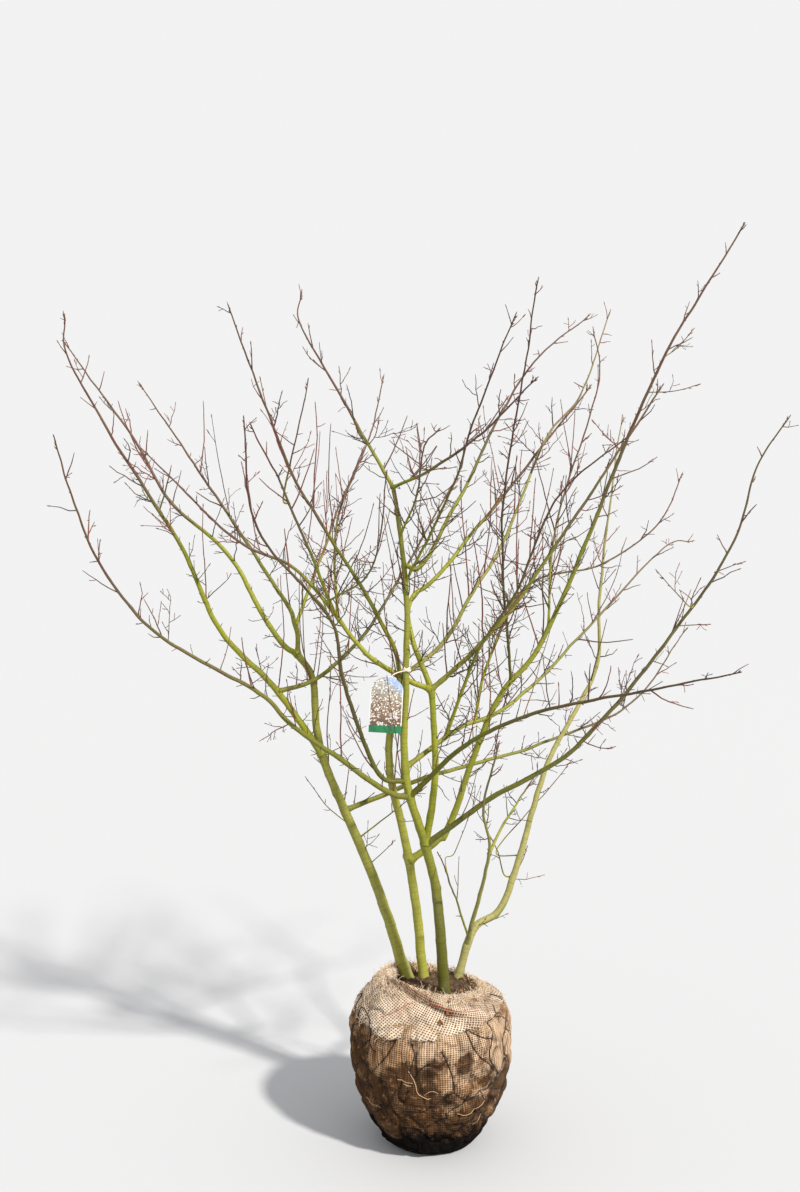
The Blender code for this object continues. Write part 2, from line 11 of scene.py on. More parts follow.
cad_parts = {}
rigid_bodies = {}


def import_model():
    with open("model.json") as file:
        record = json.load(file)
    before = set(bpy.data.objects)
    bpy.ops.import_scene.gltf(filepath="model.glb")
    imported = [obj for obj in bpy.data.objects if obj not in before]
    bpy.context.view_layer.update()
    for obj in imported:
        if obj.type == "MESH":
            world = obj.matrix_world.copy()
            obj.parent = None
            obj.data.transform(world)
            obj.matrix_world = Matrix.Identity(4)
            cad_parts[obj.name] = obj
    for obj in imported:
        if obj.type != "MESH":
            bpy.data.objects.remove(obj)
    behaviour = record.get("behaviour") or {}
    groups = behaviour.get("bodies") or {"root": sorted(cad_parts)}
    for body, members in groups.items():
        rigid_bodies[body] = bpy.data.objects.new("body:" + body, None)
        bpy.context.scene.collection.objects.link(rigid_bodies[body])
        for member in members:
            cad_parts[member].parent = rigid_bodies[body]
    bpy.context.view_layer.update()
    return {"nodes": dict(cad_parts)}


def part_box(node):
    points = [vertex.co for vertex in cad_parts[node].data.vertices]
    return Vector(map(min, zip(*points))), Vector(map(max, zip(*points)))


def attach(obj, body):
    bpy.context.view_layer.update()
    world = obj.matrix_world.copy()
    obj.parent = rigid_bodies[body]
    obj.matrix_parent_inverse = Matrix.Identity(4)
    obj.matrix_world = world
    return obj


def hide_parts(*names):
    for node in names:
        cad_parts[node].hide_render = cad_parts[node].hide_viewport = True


noise.seed_set(11)  # vector noise takes its offsets from the clock otherwise
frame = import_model()
footDepth = 0.030  # heights in this file start at the line where the ball sinks out of sight, this far above its foot
corners = [corner for node in frame["nodes"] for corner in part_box(node)]
lowest = [min(corner[i] for corner in corners) - (0, 0, footDepth)[i] for i in range(3)]
highest = [max(corner[i] for corner in corners) - (0, 0, footDepth)[i] for i in range(3)]
print("frame loaded,", len(frame["nodes"]), "nodes")


# camera and light

view = {"stand": (-0.082, -3.40, 1.77), "pitchDown": 5.52, "lens": 40.2, "sensor": 36, "far": 60}
studio = {
    "floorSize": 16, "floorColour": (0.447, 0.453, 0.472), "skyColour": (0.99, 0.99, 0.99), "skyStrength": 0.90,
    "keyFrom": (0.68, -0.68, 0.90), "keyDistance": 4, "keyPower": 5.0,
    "keySpread": math.radians(4), "keyColour": (1.0, 0.97, 0.90),
}


def setCamera():
    lens = bpy.data.cameras.new("viewCamera")
    lens.lens = view["lens"]
    lens.sensor_width = view["sensor"]
    lens.clip_end = view["far"]
    holder = bpy.data.objects.new("viewCamera", lens)
    holder.location = view["stand"]
    holder.rotation_euler = (math.radians(90 - view["pitchDown"]), 0, 0)
    bpy.context.scene.collection.objects.link(holder)
    bpy.context.scene.camera = holder


def setLights():
    key = bpy.data.lights.new("keyLight", "SUN")
    key.energy = studio["keyPower"]
    key.angle = studio["keySpread"]
    key.color = studio["keyColour"]
    holder = bpy.data.objects.new("keyLight", key)
    holder.rotation_euler = Vector(studio["keyFrom"]).to_track_quat("Z", "Y").to_euler()
    holder.location = Vector(studio["keyFrom"]) * studio["keyDistance"]
    bpy.context.scene.collection.objects.link(holder)
    world = bpy.data.worlds.new("paleRoom")
    world.use_nodes = True
    world.node_tree.nodes["Background"].inputs["Color"].default_value = (*studio["skyColour"], 1)
    world.node_tree.nodes["Background"].inputs["Strength"].default_value = studio["skyStrength"]
    bpy.context.scene.world = world


# small helpers

def add(tree, kind, inputs=None, **settings):  # a shader node with its inputs set or linked
    made = tree.nodes.new(kind)
    for label, value in settings.items():
        setattr(made, label, value)
    for label, value in (inputs or {}).items():
        socket = made.inputs[label]
        if isinstance(value, bpy.types.NodeSocket):
            tree.links.new(value, socket)
        elif socket.type == "RGBA":
            socket.default_value = (*value, 1)
        else:
            socket.default_value = value
    return made


def mixColours(tree, factor, first, second, blend="MIX"):
    return add(tree, "ShaderNodeMix", {0: factor, 6: first, 7: second}, data_type="RGBA", blend_type=blend).outputs[2]


def sums(tree, operation, first, second=0.5):
    return add(tree, "ShaderNodeMath", {0: first, 1: second}, operation=operation).outputs[0]


def times(tree, first, second):
    return sums(tree, "MULTIPLY", first, second)


def attribute(tree, name, output="Fac"):
    return add(tree, "ShaderNodeAttribute", attribute_name=name).outputs[output]


def objectPlace(tree):
    return add(tree, "ShaderNodeTexCoord").outputs["Object"]


def parted(tree, vector):
    return add(tree, "ShaderNodeSeparateXYZ", {"Vector": vector}).outputs


def ramp(tree, factor, stops):
    made = add(tree, "ShaderNodeValToRGB", {"Fac": factor})
    band = made.color_ramp
    while len(band.elements) < len(stops):
        band.elements.new(0.5)
    for element, (place, colour) in zip(band.elements, stops):
        element.position = place
        element.color = (*colour, 1)
    return made.outputs["Color"]


def span(tree, value, low, high, lowTo=0.0, highTo=1.0):
    inputs = {"Value": value, "From Min": low, "From Max": high, "To Min": lowTo, "To Max": highTo}
    return add(tree, "ShaderNodeMapRange", inputs, interpolation_type="SMOOTHSTEP").outputs["Result"]


def noiseAt(tree, vector, scale, detail=4, roughness=0.55):
    inputs = {"Vector": vector, "Scale": scale, "Detail": detail, "Roughness": roughness}
    return add(tree, "ShaderNodeTexNoise", inputs).outputs["Fac"]


def stretched(tree, vector, scale):
    return add(tree, "ShaderNodeMapping", {"Vector": vector, "Scale": scale}).outputs["Vector"]


def bumped(tree, height, strength, distance):
    return add(tree, "ShaderNodeBump", {"Height": height, "Strength": strength, "Distance": distance}).outputs["Normal"]


def newMaterial(name, roughness=0.6):
    made = bpy.data.materials.new(name)
    made.use_nodes = True
    shader = made.node_tree.nodes["Principled BSDF"]
    shader.inputs["Roughness"].default_value = roughness
    return made, made.node_tree, shader.inputs


ownPieces = []


def newPiece(name, mesh, materials, smooth=True):
    for material in materials:
        mesh.materials.append(material)
    if smooth:
        mesh.polygons.foreach_set("use_smooth", [True] * len(mesh.polygons))
    piece = bpy.data.objects.new(name, mesh)
    bpy.context.scene.collection.objects.link(piece)
    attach(piece, "root")
    ownPieces.append(piece)
    triangles = sum(len(face.vertices) - 2 for face in mesh.polygons)
    print(name, triangles, "triangles")
    return piece


def toMesh(made, name):
    mesh = bpy.data.meshes.new(name)
    made.to_mesh(mesh)
    made.free()
    return mesh


def joinInto(joined, made):
    mesh = toMesh(made, "part")
    joined.from_mesh(mesh)
    bpy.data.meshes.remove(mesh)


def vertsOf(geom):
    return [item for item in geom if isinstance(item, bmesh.types.BMVert)]


def bearing(angle):
    return Vector((math.cos(angle), math.sin(angle), 0))


def straightUp(height):
    return Vector((0, 0, height))


def bell(distance, width):
    return math.exp(-(distance / width) ** 2)


def easeBetween(low, high, value):
    t = min(1.0, max(0.0, (value - low) / (high - low)))
    return t * t * (3 - 2 * t)


# the limbs' lines: parent, share of it, foot and tip in millimetres, ends of solid pieces, points

limb = namedtuple("limb", "parent share thick thin ends points")
limbs = {
    "stem_left": limb(None, 0, 32, 18, [1], [
        (-0.055, 0.08, 0.35), (-0.17, 0.13, 0.67), (-0.295, 0.17, 0.96), (-0.32, 0.19, 1.16), (-0.36, 0.20, 1.23)]),
    "stem_middle": limb(None, 0, 27, 18, [1], [
        (-0.015, 0.085, 0.35), (-0.055, 0.09, 0.67), (-0.11, 0.09, 0.96), (-0.08, 0.08, 1.19)]),
    "stem_front": limb(None, 0, 31, 10, [0.56, 1], [
        (0.037, -0.025, 0.35), (0.005, -0.03, 0.68), (-0.07, -0.04, 0.97), (-0.065, -0.045, 1.25),
        (-0.07, -0.05, 1.49), (-0.10, -0.06, 1.69)]),
    "stem_right": limb(None, 0, 23, 3, [0.16, 0.62], [
        (0.07, 0.08, 0.35), (0.12, 0.12, 0.49), (0.21, 0.17, 0.56), (0.33, 0.28, 0.90),
        (0.48, 0.38, 1.16), (0.50, 0.45, 1.38), (0.58, 0.62, 1.89)]),
    "stem_inner": limb("stem_front", 0.31, 20, 15, [1], [
        (0.005, -0.03, 0.90), (0.01, -0.03, 1.00), (0.00, -0.02, 1.17)]),
    "stem_right_inner": limb("stem_right", 0.06, 13, 4, [0.5], [
        (0.13, 0.04, 0.62), (0.15, -0.03, 0.76), (0.13, -0.10, 0.89), (0.16, -0.20, 1.07)]),
    "bough_right_tall": limb("stem_middle", 0.40, 20, 4, [0.55], [
        (0.02, 0.10, 0.74), (0.05, 0.10, 0.78), (0.17, 0.10, 1.11), (0.31, 0.11, 1.31), (0.58, 0.11, 1.97),
        (0.81, 0.12, 2.37)]),
    "bough_right_low": limb("stem_front", 0.31, 16, 3, [0.55], [
        (0.15, -0.07, 0.90), (0.37, -0.13, 1.06), (0.67, -0.25, 1.49), (0.74, -0.32, 1.74), (0.80, -0.36, 1.85)]),
    "bough_left_upper": limb("stem_left", 1, 16, 3, [0.45], [
        (-0.42, 0.21, 1.28), (-0.55, 0.24, 1.50), (-0.71, 0.28, 1.64), (-0.82, 0.31, 1.82), (-1.02, 0.36, 2.09)]),
    "bough_left_back": limb("stem_left", 1, 14, 3, [0.45], [
        (-0.37, 0.23, 1.31), (-0.44, 0.29, 1.43), (-0.86, 0.62, 1.99)]),
    "bough_left_outer": limb("stem_left", 0.70, 20, 3, [0.5], [
        (-0.41, 0.13, 1.14), (-0.56, 0.09, 1.32), (-0.64, 0.04, 1.52), (-0.88, -0.09, 1.97), (-0.90, -0.12, 2.11)]),
    "bough_crossing": limb("bough_left_outer", 0.16, 13, 4, [], [
        (-0.31, 0.17, 1.17), (-0.19, 0.24, 1.27), (-0.07, 0.35, 1.45), (0.07, 0.48, 1.69)]),
    "bough_left_low": limb("stem_front", 0.41, 16, 3, [0.55], [
        (-0.12, -0.06, 0.92), (-0.34, -0.16, 1.10), (-0.43, -0.21, 1.20), (-0.64, -0.33, 1.35),
        (-0.76, -0.45, 1.55), (-0.81, -0.58, 1.80)]),
    "bough_left_front": limb("stem_front", 0.44, 13, 3, [0.45], [
        (-0.14, -0.07, 0.97), (-0.22, -0.18, 1.22), (-0.25, -0.27, 1.39), (-0.40, -0.42, 1.60), (-0.41, -0.58, 1.84)]),
    "bough_left_inner": limb("stem_inner", 1, 15, 3, [0.5], [
        (-0.07, -0.02, 1.20), (-0.17, -0.01, 1.27), (-0.34, 0.00, 1.47), (-0.51, 0.01, 1.56), (-0.74, 0.02, 1.79)]),
    "bough_left_high": limb("stem_middle", 1, 13, 3, [0.45], [
        (-0.12, 0.05, 1.32), (-0.33, -0.08, 1.69), (-0.41, -0.17, 1.90), (-0.48, -0.26, 2.12)]),
    "bough_right_back": limb("stem_left", 0.525, 15, 3, [0.55], [
        (0.00, 0.25, 0.88), (0.32, 0.40, 0.94), (0.61, 0.53, 1.04), (0.80, 0.66, 1.25)]),
    "bough_right_middle": limb("stem_front", 0.468, 14, 3, [0.5], [
        (0.07, 0.06, 1.05), (0.26, 0.18, 1.13), (0.67, 0.52, 1.48), (0.80, 0.60, 1.52)]),
    "bough_right_front": limb("stem_front", 0.41, 15, 3, [0.5], [
        (0.07, -0.13, 1.04), (0.23, -0.25, 1.15), (0.44, -0.42, 1.23), (0.64, -0.62, 1.31)]),
    "bough_pale": limb("stem_middle", 1, 13, 3, [0.45], [
        (0.04, 0.12, 1.28), (0.12, 0.16, 1.42), (0.20, 0.21, 1.54), (0.32, 0.29, 1.82), (0.42, 0.34, 1.94),
        (0.51, 0.42, 2.18)]),
    "bough_inner_back": limb("stem_inner", 1, 15, 4, [0.45], [
        (-0.05, 0.03, 1.30), (-0.05, 0.08, 1.40), (0.05, 0.14, 1.49), (0.46, 0.42, 1.97)]),
    "bough_inner_right": limb("stem_inner", 1, 14, 4, [0.45], [
        (0.12, -0.05, 1.29), (0.27, -0.09, 1.49), (0.54, -0.20, 1.93)]),
    "bough_back_high": limb("stem_front", 0.85, 12, 3, [], [
        (0.00, 0.00, 1.53), (0.26, 0.36, 1.99), (0.47, 0.54, 2.18)]),
    "bough_front_right": limb("bough_right_middle", 0.12, 10, 3, [], [
        (0.11, -0.06, 1.27), (0.20, -0.16, 1.43), (0.28, -0.31, 1.67), (0.42, -0.46, 1.81)]),
    "shoot_left_back": limb("bough_left_back", 0.08, 11, 3, [], [
        (-0.27, 0.44, 1.59), (-0.19, 0.60, 1.80)]),
    "shoot_left_inner": limb("bough_left_inner", 0.33, 10, 3, [], [
        (-0.34, -0.18, 1.63), (-0.42, -0.36, 1.84)]),
    "shoot_back_left": limb("bough_left_inner", 0.32, 8, 3, [], [
        (-0.25, 0.15, 1.60), (-0.17, 0.32, 1.81), (-0.13, 0.45, 2.00)]),
    "shoot_tall": limb("bough_right_tall", 0.30, 8, 3, [], [
        (0.18, -0.02, 1.50), (0.18, -0.12, 1.72), (0.23, -0.36, 2.16)]),
    "shoot_right_high": limb("bough_right_tall", 0.39, 7, 3, [], [
        (0.34, 0.18, 1.60), (0.46, 0.28, 1.97), (0.45, 0.32, 2.12)]),
    "shoot_right_middle": limb("bough_right_middle", 0.20, 9, 3, [], [
        (0.15, 0.13, 1.21), (0.26, 0.21, 1.42), (0.47, 0.28, 1.47), (0.64, 0.34, 1.58), (0.72, 0.40, 1.72)]),
    "shoot_right_low": limb("stem_right_inner", 0.45, 9, 3, [], [
        (0.20, 0.06, 0.81), (0.30, 0.28, 0.88)]),
    "shoot_right_foot": limb("stem_right", 0.07, 7, 3, [], [
        (0.06, -0.05, 0.64), (0.01, -0.24, 0.81)]),
    "shoot_front_high": limb("stem_front", 0.82, 8, 3, [], [
        (0.04, -0.18, 1.68), (0.10, -0.30, 1.88), (0.17, -0.45, 2.07)]),
    "shoot_front": limb("stem_front", 0.91, 6, 3, [], [
        (-0.04, -0.24, 1.68), (-0.03, -0.49, 1.78), (0.00, -0.62, 1.82)]),
    "shoot_top_left": limb("stem_front", 1, 10, 3, [], [
        (-0.22, 0.03, 1.90), (-0.34, 0.12, 2.11), (-0.34, 0.16, 2.20)]),
    "shoot_top_right": limb("stem_front", 1, 9, 3, [], [
        (0.00, -0.15, 1.74), (0.11, -0.31, 1.82), (0.21, -0.52, 1.93)]),
}

# where a limb's green bark gives way to brown, as a share of its length; 0.3 where not given
greenTo = {
    "stem_left": 2, "stem_middle": 2, "stem_front": 1.1, "stem_inner": 2, "stem_right": 0.72, "stem_right_inner": 0.7,
    "bough_right_tall": 0.55, "bough_right_low": 0.30, "bough_left_upper": 0.42, "bough_left_back": 0.32,
    "bough_left_outer": 0.55, "bough_left_low": 0.30, "bough_left_front": 0.10, "bough_left_inner": 0.46,
    "bough_left_high": 0.38, "bough_right_back": 0.45, "bough_right_middle": 0.45, "bough_right_front": 0.3,
    "bough_pale": 0.62, "bough_inner_back": 0.55, "bough_inner_right": 0.45, "bough_back_high": 0.40,
    "bough_crossing": 0.3, "shoot_tall": 0.02, "shoot_right_foot": 0.4, "shoot_right_low": 0.6,
}


barkLook = {  # how dark the bark is at foot and tip, and how bleached; (1, 1, 0) where not given
    "stem_front": (0.36, 1.0, 0.1), "bough_right_low": (0.46, 0.80, 0.25), "bough_right_front": (0.45, 0.80, 0.0),
    "bough_left_front": (0.50, 0.80, 0.0), "bough_left_low": (0.58, 0.9, 0.1), "bough_right_middle": (0.80, 1.0, 0.2),
    "bough_right_back": (0.60, 0.9, 0.1), "bough_inner_right": (0.80, 1.0, 0.2), "shoot_tall": (0.60, 0.8, 0.0),
    "stem_right": (1.0, 1.05, 0.75), "bough_crossing": (0.60, 0.8, 0.1), "bough_left_back": (0.75, 0.9, 0.1),
    "bough_right_tall": (0.85, 0.85, 0.05), "bough_pale": (1.0, 1.0, 0.55), "stem_left": (1.15, 0.90, 0.25),
    "stem_middle": (1.20, 1.0, 0.20),
    "bough_left_high": (0.80, 0.85, 0.1), "bough_back_high": (0.75, 0.80, 0.0), "stem_right_inner": (0.9, 0.9, 0.5),
}

# lines through the named points

growth = {
    "curveSteps": 12, "taperPower": 0.85, "flare": 0.22, "flareLength": 0.07,
    "wander": 0.0042, "wanderRate": 8.0, "kink": 0.0014, "kinkRate": 27.0,
}


def splinePoint(before, start, end, after, t):
    return 0.5 * (2 * start + (end - before) * t
                  + (2 * before - 5 * start + 4 * end - after) * t ** 2
                  + (3 * start - before - 3 * end + after) * t ** 3)


def makeLine(points, seed):
    ends = [2 * points[0] - points[1]] + points + [2 * points[-1] - points[-2]]
    samples = []
    for i in range(1, len(ends) - 2):
        for step in range(growth["curveSteps"]):
            samples.append(splinePoint(*ends[i - 1:i + 3], step / growth["curveSteps"]))
    samples.append(points[-1].copy())
    lengths = [0.0]
    for a, b in zip(samples, samples[1:]):
        lengths.append(lengths[-1] + (b - a).length)
    side = (points[-1] - points[0]).orthogonal().normalized()
    return {"samples": samples, "lengths": lengths, "length": lengths[-1], "side": side, "seed": seed}


def bareLinePoint(line, share):
    goal = share * line["length"]
    lengths = line["lengths"]
    for i in range(1, len(lengths)):
        if lengths[i] >= goal or i == len(lengths) - 1:
            part = (goal - lengths[i - 1]) / (lengths[i] - lengths[i - 1])
            return line["samples"][i - 1].lerp(line["samples"][i], part)


def linePoint(line, share):  # with the small crookedness of a grown limb
    along = share * line["length"]
    loose = min(1.0, along / 0.1)
    drift = noise.noise_vector(Vector((along * growth["wanderRate"], line["seed"] * 7.3, 0.5))) * growth["wander"]
    drift += noise.noise_vector(Vector((along * growth["kinkRate"], line["seed"] * 3.1, 7.5))) * growth["kink"]
    return bareLinePoint(line, share) + drift * loose


def lineHeading(line, share, reach=0.01):
    return (linePoint(line, min(1.0, share + reach)) - linePoint(line, max(0.0, share - reach))).normalized()


def limbRadius(grown, line, share):
    radius = (grown.thick + (grown.thin - grown.thick) * share ** growth["taperPower"]) / 2000
    if grown.parent is None:
        radius *= 1 + growth["flare"] * max(0.0, 1 - share * line["length"] / growth["flareLength"]) ** 2
    return radius


def barkAge(name, share):  # 1 on old green wood, 0 on last year's reddish shoot
    green = greenTo.get(name, 0.3)
    young = easeBetween(green - 0.22, green + 0.2, share)
    tip = easeBetween(0.45, 1.0, share) if green < 2 else 0
    high = 0 if green >= 1 else 0.30 * easeBetween(1.35, 1.95, bareLinePoint(lines[name], share).z)
    return max(0.0, 1 - 0.62 * young - 0.38 * tip - high)


sprigs = {  # thin shoots that only the scene has; each foot goes to the nearest point of its limb
    "shoot_sprig_front": ("bough_left_inner", 6, 2.6, [(-0.15, -0.22, 1.50), (-0.11, -0.50, 1.73)]),
    "shoot_sprig_left": ("shoot_left_inner", 5, 2.4, [(-0.363, -0.17, 1.669), (-0.326, -0.26, 1.804),
                                                     (-0.291, -0.34, 1.936)]),
    "shoot_sprig_rung": ("stem_left", 4.5, 2.4, [(-0.188, 0.15, 0.734), (-0.103, 0.10, 0.819), (-0.016, 0.05, 0.90)]),
    "shoot_sprig_rung_low": ("stem_left", 3, 1.8, [(-0.158, 0.14, 0.667), (-0.10, 0.10, 0.738)]),
    "shoot_sprig_outer": ("stem_left", 3.6, 1.8, [(-0.226, 0.15, 0.762), (-0.285, 0.13, 0.834),
                                                  (-0.336, 0.10, 0.912)]),
    "shoot_sprig_stub": ("stem_right", 3.4, 2.2, [(0.237, 0.26, 0.587), (0.262, 0.25, 0.640), (0.273, 0.24, 0.680)]),
    "shoot_sprig_foot": ("shoot_right_foot", 3, 1.8, [(0.035, -0.06, 0.738), (0.060, -0.05, 0.752),
                                                     (0.096, -0.08, 0.859)]),
    "shoot_sprig_back": ("stem_right", 4, 2.0, [(0.191, 0.26, 0.668), (0.331, 0.32, 0.817), (0.406, 0.36, 0.898)]),
    "shoot_sprig_link": ("stem_right", 4.4, 2.6, [(0.205, 0.19, 0.620), (0.188, 0.18, 0.686), (0.170, 0.20, 0.720)]),
    "shoot_sprig_tip": ("bough_right_low", 3.4, 1.8, [(0.661, -0.28, 1.495), (0.719, -0.30, 1.520)]),
    "shoot_sprig_low": ("bough_right_low", 3.4, 1.8, [(0.603, -0.25, 1.414), (0.536, -0.22, 1.495)]),
    "shoot_sprig_under": ("bough_right_low", 3, 1.8, [(0.582, -0.22, 1.358), (0.654, -0.24, 1.367)]),
    "shoot_sprig_fork": ("shoot_top_left", 3, 1.8, [(-0.160, -0.01, 1.796), (-0.145, -0.03, 1.819),
                                                    (-0.134, -0.05, 1.858)]),
    "shoot_sprig_fork_back": ("shoot_back_left", 2.8, 1.8, [(-0.171, 0.32, 1.810), (-0.190, 0.31, 1.826),
                                                            (-0.206, 0.30, 1.859)]),
    "shoot_sprig_tall": ("bough_right_tall", 3, 1.8, [(0.568, 0.11, 1.931), (0.627, 0.09, 1.937),
                                                      (0.687, 0.07, 1.952)]),
    "shoot_sprig_tall_high": ("bough_right_tall", 2.8, 1.8, [(0.606, 0.11, 2.026), (0.641, 0.12, 2.050),
                                                             (0.684, 0.13, 2.097)]),
}


def nearestShare(line, place):
    spots = [(bareLinePoint(line, i / 200) - place).length for i in range(1, 200)]
    return (spots.index(min(spots)) + 1) / 200


lines = {}


def layLine(name, grown):
    points = [Vector(point) for point in grown.points]
    if grown.parent is not None:
        points.insert(0, linePoint(lines[grown.parent], grown.share))
    lines[name] = makeLine(points, len(lines))


for name, grown in limbs.items():
    layLine(name, grown)
for name, (owner, thick, thin, points) in sprigs.items():
    share = nearestShare(lines[owner], Vector(points[0]))
    if (bareLinePoint(lines[owner], share) - Vector(points[0])).length < 0.02:
        points = points[1:]
    limbs[name] = limb(owner, share, thick, thin, None, points)
    layLine(name, limbs[name])

wood = {"step": 0.012, "reach": 0.022}
woodPlaces = []  # (place, radius, name) along every limb, for keeping twigs clear of them
for name, grown in limbs.items():
    count = math.ceil(lines[name]["length"] / wood["step"])
    for i in range(count + 1):
        woodPlaces.append((linePoint(lines[name], i / count), limbRadius(grown, lines[name], i / count), name))
woodTree = KDTree(len(woodPlaces))
for number, (place, radius, name) in enumerate(woodPlaces):
    woodTree.insert(place, number)
woodTree.balance()


def hitsWood(place, owner, room=0.003):
    for _, number, distance in woodTree.find_range(place, wood["reach"]):
        _, radius, name = woodPlaces[number]
        if name != owner and distance < radius + room:
            return True
    return False


# bark: rings swept along each limb, with ring scars, swollen joints and small lumps

bark = {
    "step": 0.0055, "sides": {"stem": 18, "boug": 12, "shoo": 8}, "scarGap": (0.045, 0.12), "scarRise": 0.07,
    "scarWidth": 0.0035, "jointSwell": 0.16, "jointReach": 0.016, "footSwell": 0.55, "lump": 0.045,
    "lumpRate": 55, "knotRise": 0.22, "knotWidth": 0.007, "knotReach": 0.02, "knotGap": 0.06, "firstScar": (0.02, 0.08),
}


def limbRings(name, chance):
    grown, line = limbs[name], lines[name]
    joints = [(child.share * line["length"], child.thick / grown.thick)
              for child in limbs.values() if child.parent == name]
    scars = []
    along = chance.uniform(*bark["firstScar"])
    while along < line["length"]:
        scars.append((along, chance.uniform(0.3, 1.0)))
        along += chance.uniform(*bark["scarGap"])
    count = math.ceil(line["length"] / bark["step"])
    rows = []
    for i in range(count + 1):
        share = i / count
        along = share * line["length"]
        radius = limbRadius(grown, line, share)
        swell = 1.0
        for place, strength in scars:
            swell += bark["scarRise"] * strength * bell(along - place, bark["scarWidth"])
        for place, ratio in joints:
            swell += bark["jointSwell"] * min(1.2, ratio) * bell(along - place, bark["jointReach"])
        if grown.parent is not None:
            thickThere = limbRadius(limbs[grown.parent], lines[grown.parent], grown.share)
            swell += bark["footSwell"] * bell(along, 1.3 * thickThere)
        rows.append((linePoint(line, share), lineHeading(line, share), radius * swell, share))
    return rows


def limbTube(name, chance):
    grown, line = limbs[name], lines[name]
    sides = bark["sides"][name[:4]]
    made = bmesh.new()
    age = made.verts.layers.float.new("age")
    tone = made.verts.layers.float.new("tone")
    bleach = made.verts.layers.float.new("bleach")
    place = made.verts.layers.float_vector.new("barkPlace")
    footTone, tipTone, bleached = barkLook.get(name, (1.0, 1.0, 0.0))
    knots = [(chance.uniform(0, line["length"]), chance.uniform(0, math.tau), chance.uniform(0.4, 1.0))
             for _ in range(int(line["length"] / bark["knotGap"]))]
    last = None
    moves = []
    for centre, heading, radius, share in limbRings(name, chance):
        across = (line["side"] - heading * line["side"].dot(heading)).normalized()
        turn = Matrix((across, heading.cross(across), heading)).transposed().to_4x4()
        seat = Matrix.Translation(centre) @ turn @ Matrix.Scale(radius, 4)
        if last is None:
            ring = bmesh.ops.create_circle(made, cap_ends=True, segments=sides, radius=1, matrix=seat)["verts"]
            edges = made.edges[:]
        else:
            geom = bmesh.ops.extrude_edge_only(made, edges=edges)["geom"]
            ring = vertsOf(geom)
            edges = [item for item in geom if isinstance(item, bmesh.types.BMEdge) and item.is_boundary]
            bmesh.ops.transform(made, matrix=seat @ last.inverted(), verts=ring)
        last = seat
        along = share * line["length"]
        grey = barkAge(name, share)
        unseat = seat.inverted()
        for vert in ring:
            spot = unseat @ vert.co
            vert[age] = grey
            vert[bleach] = bleached
            vert[tone] = footTone + (tipTone - footTone) * easeBetween(0.05, 0.5, share)
            vert[place] = Vector((spot.x * 0.01, spot.y * 0.01, along + line["seed"]))
            moves.append((vert, vert.co - centre, math.atan2(spot.y, spot.x), along))
    bmesh.ops.edgeloop_fill(made, edges=edges)
    for vert, out, angle, along in moves:
        lump = bark["lump"] * noise.noise(vert.co * bark["lumpRate"] + straightUp(line["seed"]))
        for where, facing, strength in knots:
            if abs(along - where) < bark["knotReach"]:
                turnAway = math.cos(angle - facing)
                if turnAway > 0:
                    near = bell(along - where, bark["knotWidth"])
                    lump += bark["knotRise"] * strength * near * turnAway ** 6
        vert.co += out * lump
    bmesh.ops.recalc_face_normals(made, faces=made.faces)
    return made


